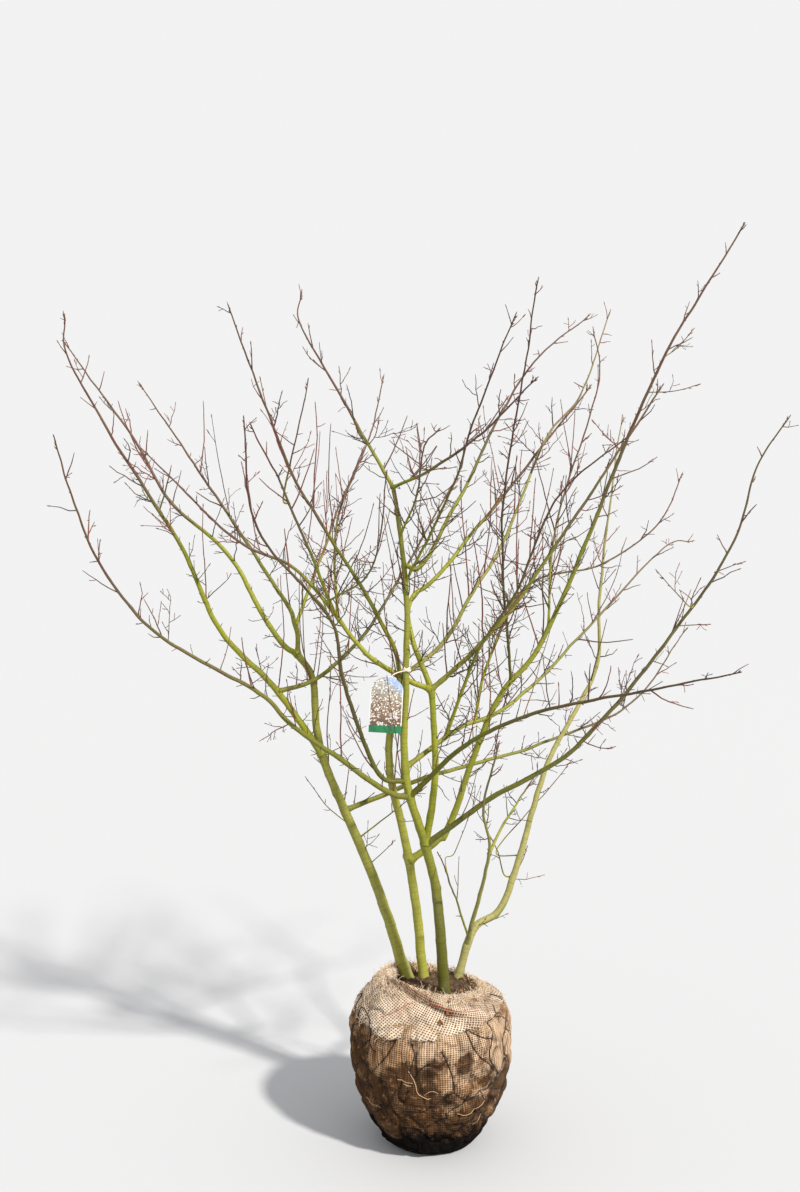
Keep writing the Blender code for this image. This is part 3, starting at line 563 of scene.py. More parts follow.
def barkMaterial(name):
    material, tree, shader = newMaterial(name, 0.55)
    shader["Specular IOR Level"].default_value = 0.22
    age = attribute(tree, "age")
    tone = attribute(tree, "tone")
    place = attribute(tree, "barkPlace", "Vector")
    body = objectPlace(tree)
    drift = span(tree, noiseAt(tree, stretched(tree, place, (45, 45, 6)), 1, 3), 0.25, 0.75, -0.12, 0.12)
    aged = sums(tree, "ADD", age, drift)
    colour = ramp(tree, aged, [
        (0.00, (0.120, 0.050, 0.036)), (0.16, (0.105, 0.060, 0.042)), (0.34, (0.118, 0.084, 0.036)),
        (0.52, (0.150, 0.135, 0.022)), (0.74, (0.187, 0.196, 0.018)), (1.00, (0.248, 0.252, 0.018)),
    ])
    bleach = attribute(tree, "bleach")
    colour = mixColours(tree, bleach, colour, (0.300, 0.270, 0.115))
    # paler, greyer skin in long patches, mostly low on the stems
    height = parted(tree, body)["Z"]
    low = span(tree, height, 0.45, 0.98, 0.80, 0.16)
    blotch = span(tree, noiseAt(tree, stretched(tree, place, (60, 60, 8)), 1, 4), 0.48, 0.70)
    colour = mixColours(tree, times(tree, blotch, low), colour, (0.300, 0.290, 0.120))
    moss = span(tree, noiseAt(tree, stretched(tree, place, (50, 50, 9)), 1, 4), 0.50, 0.74, 0, 0.45)
    colour = mixColours(tree, moss, colour, (0.085, 0.125, 0.008))
    streak = noiseAt(tree, stretched(tree, place, (420, 420, 16)), 1, 3)
    colour = mixColours(tree, span(tree, streak, 0.35, 0.65, 0, 0.22), colour, (0.42, 0.38, 0.16), "MULTIPLY")
    # pale corky pores, and thin dark rings where buds once closed
    pores = add(tree, "ShaderNodeTexVoronoi", {"Vector": stretched(tree, place, (260, 260, 130)), "Scale": 1})
    pore = span(tree, pores.outputs["Distance"], 0.10, 0.20, 1, 0)
    poreShown = times(tree, pore, span(tree, noiseAt(tree, place, 40), 0.46, 0.56))
    colour = mixColours(tree, times(tree, poreShown, 0.55), colour, (0.44, 0.40, 0.22))
    alongLimb = parted(tree, place)["Z"]
    rings = add(tree, "ShaderNodeTexVoronoi", {"W": times(tree, alongLimb, 13)}, voronoi_dimensions="1D")
    ring = span(tree, rings.outputs["Distance"], 0.012, 0.034, 1, 0)
    colour = mixColours(tree, times(tree, ring, 0.70), colour, (0.050, 0.042, 0.018))
    shade = add(tree, "ShaderNodeVectorMath", {0: colour}, operation="SCALE")
    tree.links.new(tone, shade.inputs["Scale"])
    tree.links.new(shade.outputs[0], shader["Base Color"])
    tree.links.new(span(tree, blotch, 0, 1, 0.48, 0.66), shader["Roughness"])
    relief = sums(tree, "ADD", times(tree, streak, 0.35), times(tree, poreShown, 0.6))
    relief = sums(tree, "SUBTRACT", relief, times(tree, ring, 0.5))
    tree.links.new(bumped(tree, relief, 0.45, 0.0011), shader["Normal"])
    return material


barkGroups = {
    "barkStems": ("stem", "stem_bark"), "barkBoughsLeft": ("bough_left", "bough_bark"),
    "barkBoughsRight": ("bough_", "bough_bark"), "barkShoots": ("shoot", "twigs"),
}
chance = random.Random(7)
done = set()
barkPieces = {}
for group, (start, slot) in barkGroups.items():
    joined = bmesh.new()
    for name in limbs:
        if name.startswith(start) and name not in done:
            joinInto(joined, limbTube(name, chance))
            done.add(name)
            covered = [node for node in frame["nodes"] if node in (name, name + "_upper")]
            barkPieces.setdefault(group, []).extend(covered)
    piece = newPiece(group, toMesh(joined, group), [barkMaterial(group)])
    if barkPieces[group]:
        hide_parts(*barkPieces[group])


# twigs, spurs and buds

twigRule = {  # as the solids' own masses grow
    "spacing": 0.072, "length": 0.15, "shrink": 0.75, "shortest": 0.45, "first": 0.7, "last": 0.97,
    "angle": math.radians(48), "turn": math.radians(137.5), "lift": 0.2, "spurChance": 0.35, "seed": 41,
}
twigShapes = {  # finer growth carried on from that rule
    "spur": {"length": (0.010, 0.042), "foot": (0.00110, 0.00150), "node": 0.0090, "kink": 0.33, "lift": 0.05,
             "fork": 0.20, "bud": 0.42},
    "twig": {"length": (0.040, 0.135), "foot": (0.00130, 0.00175), "node": 0.0145, "kink": 0.25, "lift": 0.07,
             "fork": 0.44, "bud": 0.42},
    "upright": {"length": (0.130, 0.330), "foot": (0.00155, 0.00220), "node": 0.0240, "kink": 0.090, "lift": 0.09,
                "fork": 0.07, "bud": 0.95},
}
fineGrowth = {
    "gap": (0.008, 0.029), "outerGap": (0.016, 0.034), "clumping": 1.5, "bareBelow": 0.80,
    "heart": (0.03, 0.08, 1.28), "heartSpread": (0.50, 0.60, 0.36),  # where the crown is thickest
    "bareTips": {"bough_right_tall": 0.86, "shoot_tall": 0.90, "bough_left_outer": 0.94}, "outerSpur": 0.10,
    "spur": 0.54, "twig": 0.30, "upright": 0.10, "endBuds": (0.007, 0.014, 0.024), "endThin": 4,
}
budSizes = {"tip": (0.0095, 0.00125), "side": (0.0052, 0.00085), "profile": (0.60, 1.0, 0.80, 0.05)}
twigColours = {
    "twigOlive": (0.074, 0.068, 0.020), "twigGrey": (0.048, 0.036, 0.030), "twigBrown": (0.086, 0.044, 0.030),
    "twigRed": (0.150, 0.052, 0.036),
}
budColours = {"budRed": (0.190, 0.066, 0.042), "budBrown": (0.115, 0.056, 0.038)}

mainRows, fineRows, budRows = [], [], []  # (points, radii, colour)


def insideBox(place):
    return all(low - 0.004 < value < high + 0.004 for low, value, high in zip(lowest, place, highest))


def pickColour(age, chance):
    if age > 0.72:
        return chance.choice((0, 0, 1, 1, 2))
    if age > 0.35:
        return chance.choice((0, 1, 1, 2, 2, 3))
    return chance.choice((1, 2, 2, 3, 3))


def addBud(place, heading, kind, chance):
    length, radius = budSizes[kind]
    scale = chance.uniform(0.75, 1.3)
    count = len(budSizes["profile"])
    points = [place + heading * length * scale * (i / (count - 1) - 0.08) for i in range(count)]
    if not insideBox(points[-1]):
        return
    budRows.append((points, [radius * scale * share for share in budSizes["profile"]], chance.choice((0, 0, 1))))


def growTwig(start, aim, length, foot, shape, chance, colour, rows, owner, generation=0):
    rule = twigShapes[shape]
    count = max(2, round(length / (rule["node"] * chance.uniform(0.8, 1.3))))
    heading = aim.normalized()
    side = Matrix.Rotation(chance.uniform(0, math.tau), 3, heading) @ heading.orthogonal().normalized()
    points, sides = [start], []
    for i in range(count):
        side = Matrix.Rotation(chance.gauss(0, 0.55), 3, heading) @ side
        side = (side - heading * side.dot(heading)).normalized()
        bend = rule["kink"] * (1 if i % 2 else -1) * chance.uniform(0.1, 1.9)
        heading = (heading + side * bend + straightUp(rule["lift"] * chance.uniform(0, 2))).normalized()
        place = points[-1] + heading * length / count * chance.uniform(0.65, 1.35)
        if not insideBox(place) or hitsWood(place, owner):
            break
        points.append(place)
        sides.append(side if i % 2 else -side)
    if len(points) < 3:
        return
    last = len(points) - 1
    tip = max(0.0007, foot * 0.55)
    radii = [foot + (tip - foot) * i / last for i in range(last + 1)]
    rows.append((points, radii, colour))
    headings = [(b - a).normalized() for a, b in zip(points, points[1:])]
    addBud(points[-1], headings[-1], "tip" if length > 0.035 else "side", chance)
    for i in range(1, last):
        if generation < 2 and length > 0.02 and chance.random() < rule["fork"]:
            away = (sides[i] + headings[i] * chance.uniform(0.35, 1.1)).normalized()
            left = (1 - i / last) * length + 0.01
            forkLength = min(0.075, left * chance.uniform(0.25, 0.8))
            growTwig(points[i], away, max(0.009, forkLength), radii[i] * 0.8, "spur", chance, colour, fineRows,
                     owner, generation + 1)
        elif chance.random() < rule["bud"]:
            out = (sides[i] * 0.75 + headings[i] * 1.6).normalized()
            addBud(points[i] + out * radii[i] * 0.5, out, "side", chance)


def massStart(name):
    ends = limbs[name].ends
    return ends[-1] if ends else 0.0


def growMassTwigs(name, chance, extra):  # the twigs of the solid masses, drawn out and forked
    line, start = lines[name], massStart(name)
    if start >= 1 or limbs[name].ends is None:
        return
    count = int((1 - start) * line["length"] / twigRule["spacing"])
    turn = chance.uniform(0, math.tau)
    for i in range(count):
        progress = (i + twigRule["first"]) / count
        share = start + (1 - start) * min(twigRule["last"], progress)
        heading = lineHeading(line, share)
        turn += twigRule["turn"]
        outward = Matrix.Rotation(turn, 3, heading) @ heading.orthogonal().normalized()
        length = twigRule["length"] * (1 - twigRule["shrink"] * progress)
        length *= chance.uniform(twigRule["shortest"], 1.0)
        forked = chance.random() < twigRule["spurChance"]
        angle = twigRule["angle"] + extra.uniform(-0.2, 0.3)
        aim = heading * math.cos(angle) + outward * math.sin(angle) + straightUp(twigRule["lift"])
        colour = pickColour(barkAge(name, share), extra)
        shape = "twig" if forked or length < 0.075 else extra.choice(("twig", "upright"))
        foot = min(extra.uniform(*twigShapes[shape]["foot"]) * 1.12, 0.8 * limbRadius(limbs[name], line, share))
        if linePoint(line, share).z > fineGrowth["bareBelow"]:
            growTwig(linePoint(line, share), aim, length, foot, shape, extra, colour, mainRows, name)


def crowding(place):  # 1 in the heart of the crown, 0 far out
    heart, spread = fineGrowth["heart"], fineGrowth["heartSpread"]
    return math.exp(-sum(((value - middle) / wide) ** 2 for value, middle, wide in zip(place, heart, spread)))


def growFineTwigs(name, chance):
    grown, line = limbs[name], lines[name]
    along = chance.uniform(0.01, 0.05)
    turn = chance.uniform(0, math.tau)
    while along < line["length"] - 0.012:
        share = along / line["length"]
        place, heading = linePoint(line, share), lineHeading(line, share)
        radius, age = limbRadius(grown, line, share), barkAge(name, share)
        crowd = crowding(place)
        outer = easeBetween(0.50, 0.78, share) * easeBetween(0.0050, 0.0032, radius)
        bare = share > fineGrowth["bareTips"].get(name, 1)
        clump = noise.noise(Vector((along * 9, line["seed"] * 1.7, 3.3)))
        gap = chance.uniform(*fineGrowth["outerGap" if outer > 0.5 else "gap"])
        along += gap * (1.25 - 0.72 * crowd) * (1 + fineGrowth["clumping"] * max(0.0, clump))
        turn += twigRule["turn"] + chance.uniform(-0.5, 0.5)
        if name.startswith("stem") and chance.random() < 0.45 or place.z < fineGrowth["bareBelow"] and \
                chance.random() < 0.9:
            continue
        outward = Matrix.Rotation(turn, 3, heading) @ heading.orthogonal().normalized()
        if bare or (outer > 0.5 and chance.random() > fineGrowth["outerSpur"] + 0.25 * crowd):
            hug = (heading * 2.6 + outward).normalized()
            addBud(place + outward * radius * 0.8, hug, "side", chance)
            continue
        tilt = chance.uniform(0.6, 1.45)
        aim = heading * math.cos(tilt) + outward * math.sin(tilt) + straightUp(0.12)
        pick = chance.random()
        if outer > 0.5 or pick < fineGrowth["spur"]:
            shape = "spur"
        elif pick < fineGrowth["spur"] + fineGrowth["twig"]:
            shape = "twig"
        elif pick < fineGrowth["spur"] + fineGrowth["twig"] + fineGrowth["upright"] and place.z < 1.75:
            shape = "upright"
            aim = aim * 0.6 + straightUp(0.75)
        else:
            continue
        least, most = twigShapes[shape]["length"]
        length = least + (most - least) * chance.random() ** 1.6
        foot = min(chance.uniform(*twigShapes[shape]["foot"]), radius * 0.8)
        colour = chance.choice((2, 3, 3)) if shape == "upright" else pickColour(age, chance)
        growTwig(place, aim, length, foot, shape, chance, colour, fineRows, name)


def endBuds(name, chance):  # a few long buds close together at a shoot's end
    grown, line = limbs[name], lines[name]
    if grown.thin > fineGrowth["endThin"]:
        return
    addBud(linePoint(line, 1.0), lineHeading(line, 1.0), "tip", chance)
    for back in fineGrowth["endBuds"]:
        share = 1 - back / line["length"]
        heading = lineHeading(line, share)
        outward = Matrix.Rotation(chance.uniform(0, math.tau), 3, heading) @ heading.orthogonal().normalized()
        addBud(linePoint(line, share) + outward * 0.0012, (heading * 2.4 + outward).normalized(), "tip", chance)


ruleChance = random.Random(twigRule["seed"])
fineChance = random.Random(twigRule["seed"] + 1)
for name in limbs:
    growMassTwigs(name, ruleChance, fineChance)
for name in limbs:
    growFineTwigs(name, fineChance)
    endBuds(name, fineChance)
print("twigs:", len(mainRows), "main,", len(fineRows), "fine,", len(budRows), "buds")


def sprayMesh(name, rows, resolution, materials):  # one joined mesh of round tapering shoots
    curve = bpy.data.curves.new(name, "CURVE")
    curve.dimensions = "3D"
    curve.bevel_depth = 1.0
    curve.bevel_resolution = resolution
    curve.use_fill_caps = True
    for material in materials:
        curve.materials.append(material)
    for points, radii, colour in rows:
        spline = curve.splines.new("POLY")
        spline.points.add(len(points) - 1)
        spline.points.foreach_set("co", [value for point in points for value in (*point, 1)])
        spline.points.foreach_set("radius", radii)
        spline.material_index = colour
    holder = bpy.data.objects.new(name, curve)
    bpy.context.scene.collection.objects.link(holder)
    graph = bpy.context.evaluated_depsgraph_get()
    mesh = bpy.data.meshes.new_from_object(holder.evaluated_get(graph))
    mesh.name = name
    bpy.data.objects.remove(holder)
    bpy.data.curves.remove(curve)
    return mesh


def plainWood(name, colour, roughness=0.6):
    material, tree, shader = newMaterial(name, roughness)
    shader["Base Color"].default_value = (*colour, 1)
    shader["Specular IOR Level"].default_value = 0.25
    return material


twigMaterials = [plainWood(name, colour) for name, colour in twigColours.items()]
budMaterials = [plainWood(name, colour, 0.42) for name, colour in budColours.items()]
massNodes = [node for node in frame["nodes"] if node.startswith("twigs_")]
twigsMain = newPiece("twigsMain", sprayMesh("twigsMain", mainRows, 1, twigMaterials), [])
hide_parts(*massNodes)
newPiece("twigsFine", sprayMesh("twigsFine", fineRows, 0, twigMaterials), [])
newPiece("buds", sprayMesh("buds", budRows, 0, budMaterials), [])


# root ball in hessian and wire netting

ball = {
    "profile": [(-0.030, 0.110), (-0.022, 0.122), (0.000, 0.141), (0.038, 0.163), (0.085, 0.187), (0.130, 0.203),
                (0.187, 0.2125), (0.240, 0.2125), (0.285, 0.2075), (0.322, 0.197), (0.345, 0.184)],
    "rows": 160, "segments": 460, "around": 0.21, "footFade": 0.03,
    "lump": 0.0075, "pleats": 46, "pleatDepth": 0.0062, "foldDepth": 0.0085,
    "netDent": 0.0042, "netPuff": 0.0030,
    "pits": [(-93, 0.226, 0.015, 0.010), (-61, 0.204, 0.016, 0.011), (-128, 0.190, 0.018, 0.010),
             (-40, 0.120, 0.014, 0.008), (150, 0.200, 0.016, 0.010), (60, 0.230, 0.016, 0.009),
             (-106, 0.303, 0.014, 0.014), (-80, 0.150, 0.016, 0.010)],  # angle, height, size, depth
    "stains": [(-84, 0.262, 0.026), (-92, 0.235, 0.030), (-68, 0.266, 0.018), (-115, 0.225, 0.034), (-122, 0.170, 0.05),
               (-48, 0.128, 0.040), (-62, 0.085, 0.050), (-100, 0.165, 0.036), (-150, 0.250, 0.03), (-28, 0.150, 0.03),
               (20, 0.240, 0.035), (75, 0.180, 0.05), (120, 0.270, 0.03), (170, 0.200, 0.05)],  # angle, height, size
}
ballFoot = ball["profile"][0][0]
netting = {
    "puffFrom": (0.006, 0.03), "dentWidth": 0.006, "shadeWidth": 0.0035,  # how the cloth bulges beside a wire, and how wide the painted shadow along a wire is
    "cellWidth": 0.092, "cellHeight": 0.080, "jitter": 0.024, "wire": 0.00135, "lowest": 0.045, "missing": 0.16,
    "laid": [  # wires laid one by one in front, as (angle, height), in place of the regular cells
        [(-23, 0.354), (-29, 0.348), (-28, 0.332), (-18, 0.317), (-2, 0.281)],
        [(-28, 0.332), (-37, 0.332), (-43, 0.330), (-39, 0.310), (-44, 0.279), (-45, 0.242), (-36, 0.196)],
        [(-65, 0.334), (-62, 0.306), (-60, 0.287), (-54, 0.256), (-46, 0.232), (-36, 0.196), (-22, 0.180)],
        [(-63, 0.330), (-56, 0.315), (-50, 0.303), (-41, 0.291)], [(-36, 0.196), (-41, 0.166), (-54, 0.171)],
        [(-101, 0.212), (-101, 0.228), (-98, 0.243), (-93, 0.254), (-87, 0.250), (-80, 0.267)],
        [(-117, 0.307), (-120, 0.284), (-124, 0.260), (-135, 0.214)], [(-105, 0.298), (-103, 0.278), (-106, 0.231)],
        [(-84, 0.290), (-81, 0.267), (-78, 0.240), (-76, 0.213), (-75, 0.181)], [(-106, 0.231), (-101, 0.212)],
        [(-101, 0.212), (-97, 0.175), (-94, 0.135)], [(-75, 0.181), (-84, 0.160), (-94, 0.135), (-112, 0.120)],
        [(-54, 0.171), (-66, 0.155), (-75, 0.181)], [(-54, 0.171), (-50, 0.125), (-58, 0.085)],
    ],
    "laidZone": (-138, -22, 0.125),  # from and to these angles, above this height
}
weave = {  # size of a thread, and whole threads round the ball so that no seam shows
    "ball": {"thread": 0.0064, "round": (206, 0)}, "wrap": {"thread": 0.0076, "round": (145, 64)},
}
wrap = {  # the loose upper cloth: (height, radius) from inside the rim to the shoulder
    "inside": [(0.345, 0.1170), (0.362, 0.1120), (0.376, 0.1105)],
    "rim": [(0.3850, 0.1150), (0.3880, 0.1235), (0.3850, 0.1340)],
    "shoulder": [(0.3770, 0.1490), (0.3680, 0.1640), (0.3580, 0.1790), (0.3480, 0.1900)],
    "edgeHeight": 0.338, "edgeDrop": 0.023, "edgeFront": math.radians(-125), "edgeStand": 0.0055,
    # rolled folds below the rim: width, rise, stain, and rows of (angle, mark, strength)
    "rolls": [(0.042, 0.0150, 1.0, [(-178, 0.44, 0), (-150, 0.47, 0.55), (-128, 0.49, 0.9), (-113, 0.53, 1),
                                    (-95, 0.62, 1.1), (-78, 0.72, 1), (-62, 0.82, 0.6), (-46, 0.90, 0)]),
              (0.050, 0.0110, 0.3, [(-60, 0.50, 0), (-35, 0.56, 0.8), (0, 0.66, 0.7), (40, 0.60, 0.9), (75, 0.70, 0)]),
              (0.050, 0.0120, 0.4, [(60, 0.50, 0), (95, 0.60, 0.9), (135, 0.56, 1), (165, 0.74, 0.6), (179, 0.8, 0)])],
    "looseFrom": -168, "looseTo": -64, "tight": 0.12,
    "lean": (-0.022, -0.0145), "centre": (0.008, 0.018), "thick": 0.0015, "segments": 420, "between": 6,
}


def profileRadius(height):
    rows = ball["profile"]
    for (lowHeight, lowRadius), (highHeight, highRadius) in zip(rows, rows[1:]):
        if height <= highHeight:
            t = max(0.0, (height - lowHeight) / (highHeight - lowHeight))
            return lowRadius + (highRadius - lowRadius) * t
    return rows[-1][1]


def ballRelief(angle, height):  # how far the wrapped surface stands out, and how much painted shade its pleats, folds and pits get
    around = bearing(angle)
    place = around * ball["around"] + straightUp(height)
    stand = noise.noise(place * 8.5) * ball["lump"] + noise.noise(place * 23 + Vector((0, 7, 0))) * ball["lump"] * 0.5
    high = easeBetween(0.17, 0.29, height)
    phase = angle * ball["pleats"] + 3.4 * noise.noise(around * 3.1 + straightUp(height * 3))
    pleat = (1 - abs(math.sin(phase / 2))) ** 2
    pleat *= max(0.1, 0.62 + 1.1 * noise.noise(around * 3.3 + Vector((9, 1, height * 4)))) * high
    warped = place + noise.noise_vector(place * 9) * 0.045
    # long upright folds on the sides, turning to slack round ones below
    tall = max(0.0, 1 - abs(noise.noise(Vector((warped.x * 17, warped.y * 17, warped.z * 6)))) * 3.4)
    slack = max(0.0, 1 - abs(noise.noise(Vector((warped.x * 7, warped.y * 7, warped.z * 21 + 4)))) * 3.4)
    low = 1 - easeBetween(0.10, 0.22, height)
    fold = tall ** 2.2 * (0.9 - 0.45 * high) + slack ** 2.2 * 0.8 * low
    small = max(0.0, 1 - abs(noise.noise(warped * 44)) * 3.2) ** 2
    stand -= ball["pleatDepth"] * pleat + ball["foldDepth"] * fold + 0.0024 * small
    # painted shade: darkening laid into the pleats, folds and creases
    paintedShade = 0.75 * pleat ** 1.5 + 0.60 * tall ** 4 + 0.5 * slack ** 4 * low + 0.25 * small ** 2
    for facing, level, size, depth in ball["pits"]:
        middle = bearing(math.radians(facing))
        away = (around - middle).length * ball["around"]
        pit = math.exp(-(away ** 2 + (height - level) ** 2) / size ** 2)
        stand -= depth * pit
        # painted shade in each pit
        paintedShade += 1.3 * pit ** 2.5 * (0.6 + 1.5 * noise.noise(place * 90))
    fade = easeBetween(0.0, ball["footFade"], height - ballFoot)
    return stand * fade + 0.0020, min(1.0, paintedShade) * fade


def surfacePoint(angle, height, out=0.0):
    radius = profileRadius(height) + ballRelief(angle, height)[0] + out
    return Vector((radius * math.cos(angle), radius * math.sin(angle), height))


# netting first, as angle and height: six-sided cells pulled out of true
chance = random.Random(19)
wirePaths = []
columns = round(math.tau * 0.208 / netting["cellWidth"])
knots = {}


def netKnot(column, row):
    column %= columns
    if (column, row) not in knots:
        shift = 0.5 if (row // 2) % 2 else 0.0
        angle = math.tau * (column + shift) / columns
        height = ballFoot + 0.012 + netting["cellHeight"] * (0.75 * (row // 2) + (0.25 if row % 2 else 0.0)) * 1.05
        angle += chance.uniform(-1, 1) * netting["jitter"] / 0.205
        height += chance.uniform(-1, 1) * netting["jitter"] * 0.7
        knots[column, row] = (angle, min(0.362, max(ballFoot + 0.010, height)))
    return knots[column, row]


def runWire(first, second):
    angleA, heightA = first
    angleB, heightB = second
    angleB = angleA + (angleB - angleA + math.pi) % math.tau - math.pi
    bow = chance.uniform(-0.006, 0.006)
    path = []
    for i in range(13):
        t = i / 12
        arc = math.sin(math.pi * t) + 0.35 * math.sin(3 * math.pi * t)
        path.append((angleA + (angleB - angleA) * t + bow * arc / 0.2, heightA + (heightB - heightA) * t + bow * arc))
    wirePaths.append(path)


def inLaidZone(angle, height):
    low, high, above = netting["laidZone"]
    return low < math.degrees(math.remainder(angle, math.tau)) < high and height > above


for path in netting["laid"]:
    points = [Vector((math.radians(angle), height, 0)) for angle, height in path]
    ends = [2 * points[0] - points[1]] + points + [2 * points[-1] - points[-2]]
    spots = [splinePoint(*ends[i - 1:i + 3], step / 6) for i in range(1, len(ends) - 2) for step in range(6)]
    wirePaths.append([(spot.x, spot.y) for spot in spots + points[-1:]])
for row in range(12):
    for column in range(columns):
        here = netKnot(column, row)
        if row % 2 == 0:
            partners = [(column, row + 1)]
        else:
            step = 1 if (row // 2) % 2 else 0
            partners = [(column + step, row + 1), (column + step - 1, row + 1)]
        for partner in partners:
            there = netKnot(*partner)
            if chance.random() > netting["missing"] and not (inLaidZone(*here) and inLaidZone(*there)):
                runWire(here, there)
wireTree = KDTree(sum(len(path) for path in wirePaths))
for number, (angle, height) in enumerate(spot for path in wirePaths for spot in path):
    reach = ball["around"]
    wireTree.insert(Vector((math.cos(angle) * reach, math.sin(angle) * reach, height)), number)
wireTree.balance()


def clothUv(made, part):  # cloth coordinates in threads
    layer = made.loops.layers.uv.new("cloth")
    whole = math.hypot(*weave[part]["round"])
    turnX, turnY = (count / whole for count in weave[part]["round"])
    for face in made.faces:
        middle = face.calc_center_median()
        base = math.atan2(middle.y, middle.x)
        for loop in face.loops:
            co = loop.vert.co
            angle = base + (math.atan2(co.y, co.x) - base + math.pi) % math.tau - math.pi
            along = angle / math.tau * whole
            down = (co.z * 1.1 - math.hypot(co.x, co.y) * 0.75) / weave[part]["thread"]
            loop[layer].uv = (along * turnX - down * turnY, along * turnY + down * turnX)


def thicken(made, thickness):  # a second layer under an open sheet, joined along its borders
    slant = Vector((0.317, 0.533, 0.784))
    made.verts.sort(key=lambda vert: vert.co.dot(slant))
    made.normal_update()
    order = made.verts.layers.int.new("order")  # the operator leaves its vertices in no set order
    for number, vert in enumerate(made.verts):
        vert[order] = 2 * number
    grown = bmesh.ops.extrude_face_region(made, geom=made.faces[:], use_keep_orig=True)["geom"]
    for vert in vertsOf(grown):
        vert[order] += 1
        vert.co -= vert.normal * thickness
    made.verts.sort(key=lambda vert: vert[order])
    made.verts.layers.int.remove(order)
    bmesh.ops.recalc_face_normals(made, faces=made.faces)


def makeBall():
    made = bmesh.new()
    paintedShade = made.verts.layers.float.new("paintedShade")
    soaked = made.verts.layers.float.new("soaked")
    top = ball["profile"][-1][0]
    verts = [made.verts.new((0, 0, ballFoot))]
    heights = [ballFoot + (top - ballFoot) * (i / ball["rows"]) ** 1.06 for i in range(ball["rows"] + 1)]
    for height in heights:
        verts.append(made.verts.new((profileRadius(height), 0, height)))
    verts.append(made.verts.new((0, 0, top)))
    edges = [made.edges.new(pair) for pair in zip(verts, verts[1:])]
    bmesh.ops.spin(made, geom=verts + edges, cent=(0, 0, 0), axis=(0, 0, 1), dvec=(0, 0, 0), angle=math.tau,
                   steps=ball["segments"], use_merge=True, use_duplicate=False)
    bmesh.ops.remove_doubles(made, verts=made.verts, dist=0.00002)
    for vert in made.verts:
        if math.hypot(vert.co.x, vert.co.y) < 0.05 or vert.co.z < ballFoot + 0.001:
            continue
        angle = math.atan2(vert.co.y, vert.co.x)
        out = bearing(angle)
        _, _, distance = wireTree.find(out * ball["around"] + straightUp(vert.co.z))
        press = ball["netPuff"] * easeBetween(*netting["puffFrom"], distance)
        press -= ball["netDent"] * bell(distance, netting["dentWidth"])
        wetness = 0.0
        for facing, level, size in ball["stains"]:
            away = (out - bearing(math.radians(facing))).length * ball["around"]
            wetness += math.exp(-(away ** 2 + (vert.co.z - level) ** 2) / size ** 2)
        vert[soaked] = wetness
        stand, deep = ballRelief(angle, vert.co.z)
        # painted shade from the folds and pits, plus a thin painted shadow along each wire
        vert[paintedShade] = min(1.0, deep + 0.25 * bell(distance, netting["shadeWidth"]))
        stand += profileRadius(vert.co.z) + press * easeBetween(0.0, ball["footFade"], vert.co.z - ballFoot)
        vert.co = out * stand + straightUp(vert.co.z)
    bmesh.ops.recalc_face_normals(made, faces=made.faces)
    clothUv(made, "ball")
    return toMesh(made, "rootBallHessian")


def edgeHeight(angle):  # the loose cloth hangs lowest in front and has a ragged lower edge
    front = math.cos(angle - wrap["edgeFront"])
    around = bearing(angle)
    height = wrap["edgeHeight"] - wrap["edgeDrop"] * easeBetween(0.2, 1.0, front)
    return height + 0.010 * noise.noise(around * 2.3 + Vector((0, 3, 0))) + 0.004 * noise.noise(around * 8)


def wrapProfile():  # smooth rows of (mark, height, radius); a mark over 1 is the hanging part
    points = [Vector((height, radius, 0)) for height, radius in wrap["inside"] + wrap["rim"] + wrap["shoulder"]]
    ends = [2 * points[0] - points[1]] + points + [2 * points[-1] - points[-2]]
    rows, count = [], len(points) - 1
    for i in range(1, len(ends) - 2):
        for step in range(wrap["between"]):
            place = splinePoint(*ends[i - 1:i + 3], step / wrap["between"])
            rows.append(((i - 1 + step / wrap["between"]) / count, place.x, place.y))
    rows.append((1.0, points[-1].x, points[-1].y))
    return rows + [(1 + i / 8, 0.0, 0.0) for i in range(1, 9)]


def alongPath(path, value):  # straight between rows of (value, place, strength)
    for (low, *first), (high, *second) in zip(path, path[1:]):
        if low <= value <= high:
            t = (value - low) / (high - low)
            return [a + (b - a) * t for a, b in zip(first, second)]
    return [0.0, 0.0]


def looseness(angle):  # 1 where the cloth's lower edge hangs free, low where it clings to the ball
    degrees = math.degrees(angle)
    free = easeBetween(wrap["looseFrom"] - 12, wrap["looseFrom"] + 14, degrees)
    free *= 1 - easeBetween(wrap["looseTo"] - 10, wrap["looseTo"] + 12, degrees)
    return max(free, wrap["tight"])


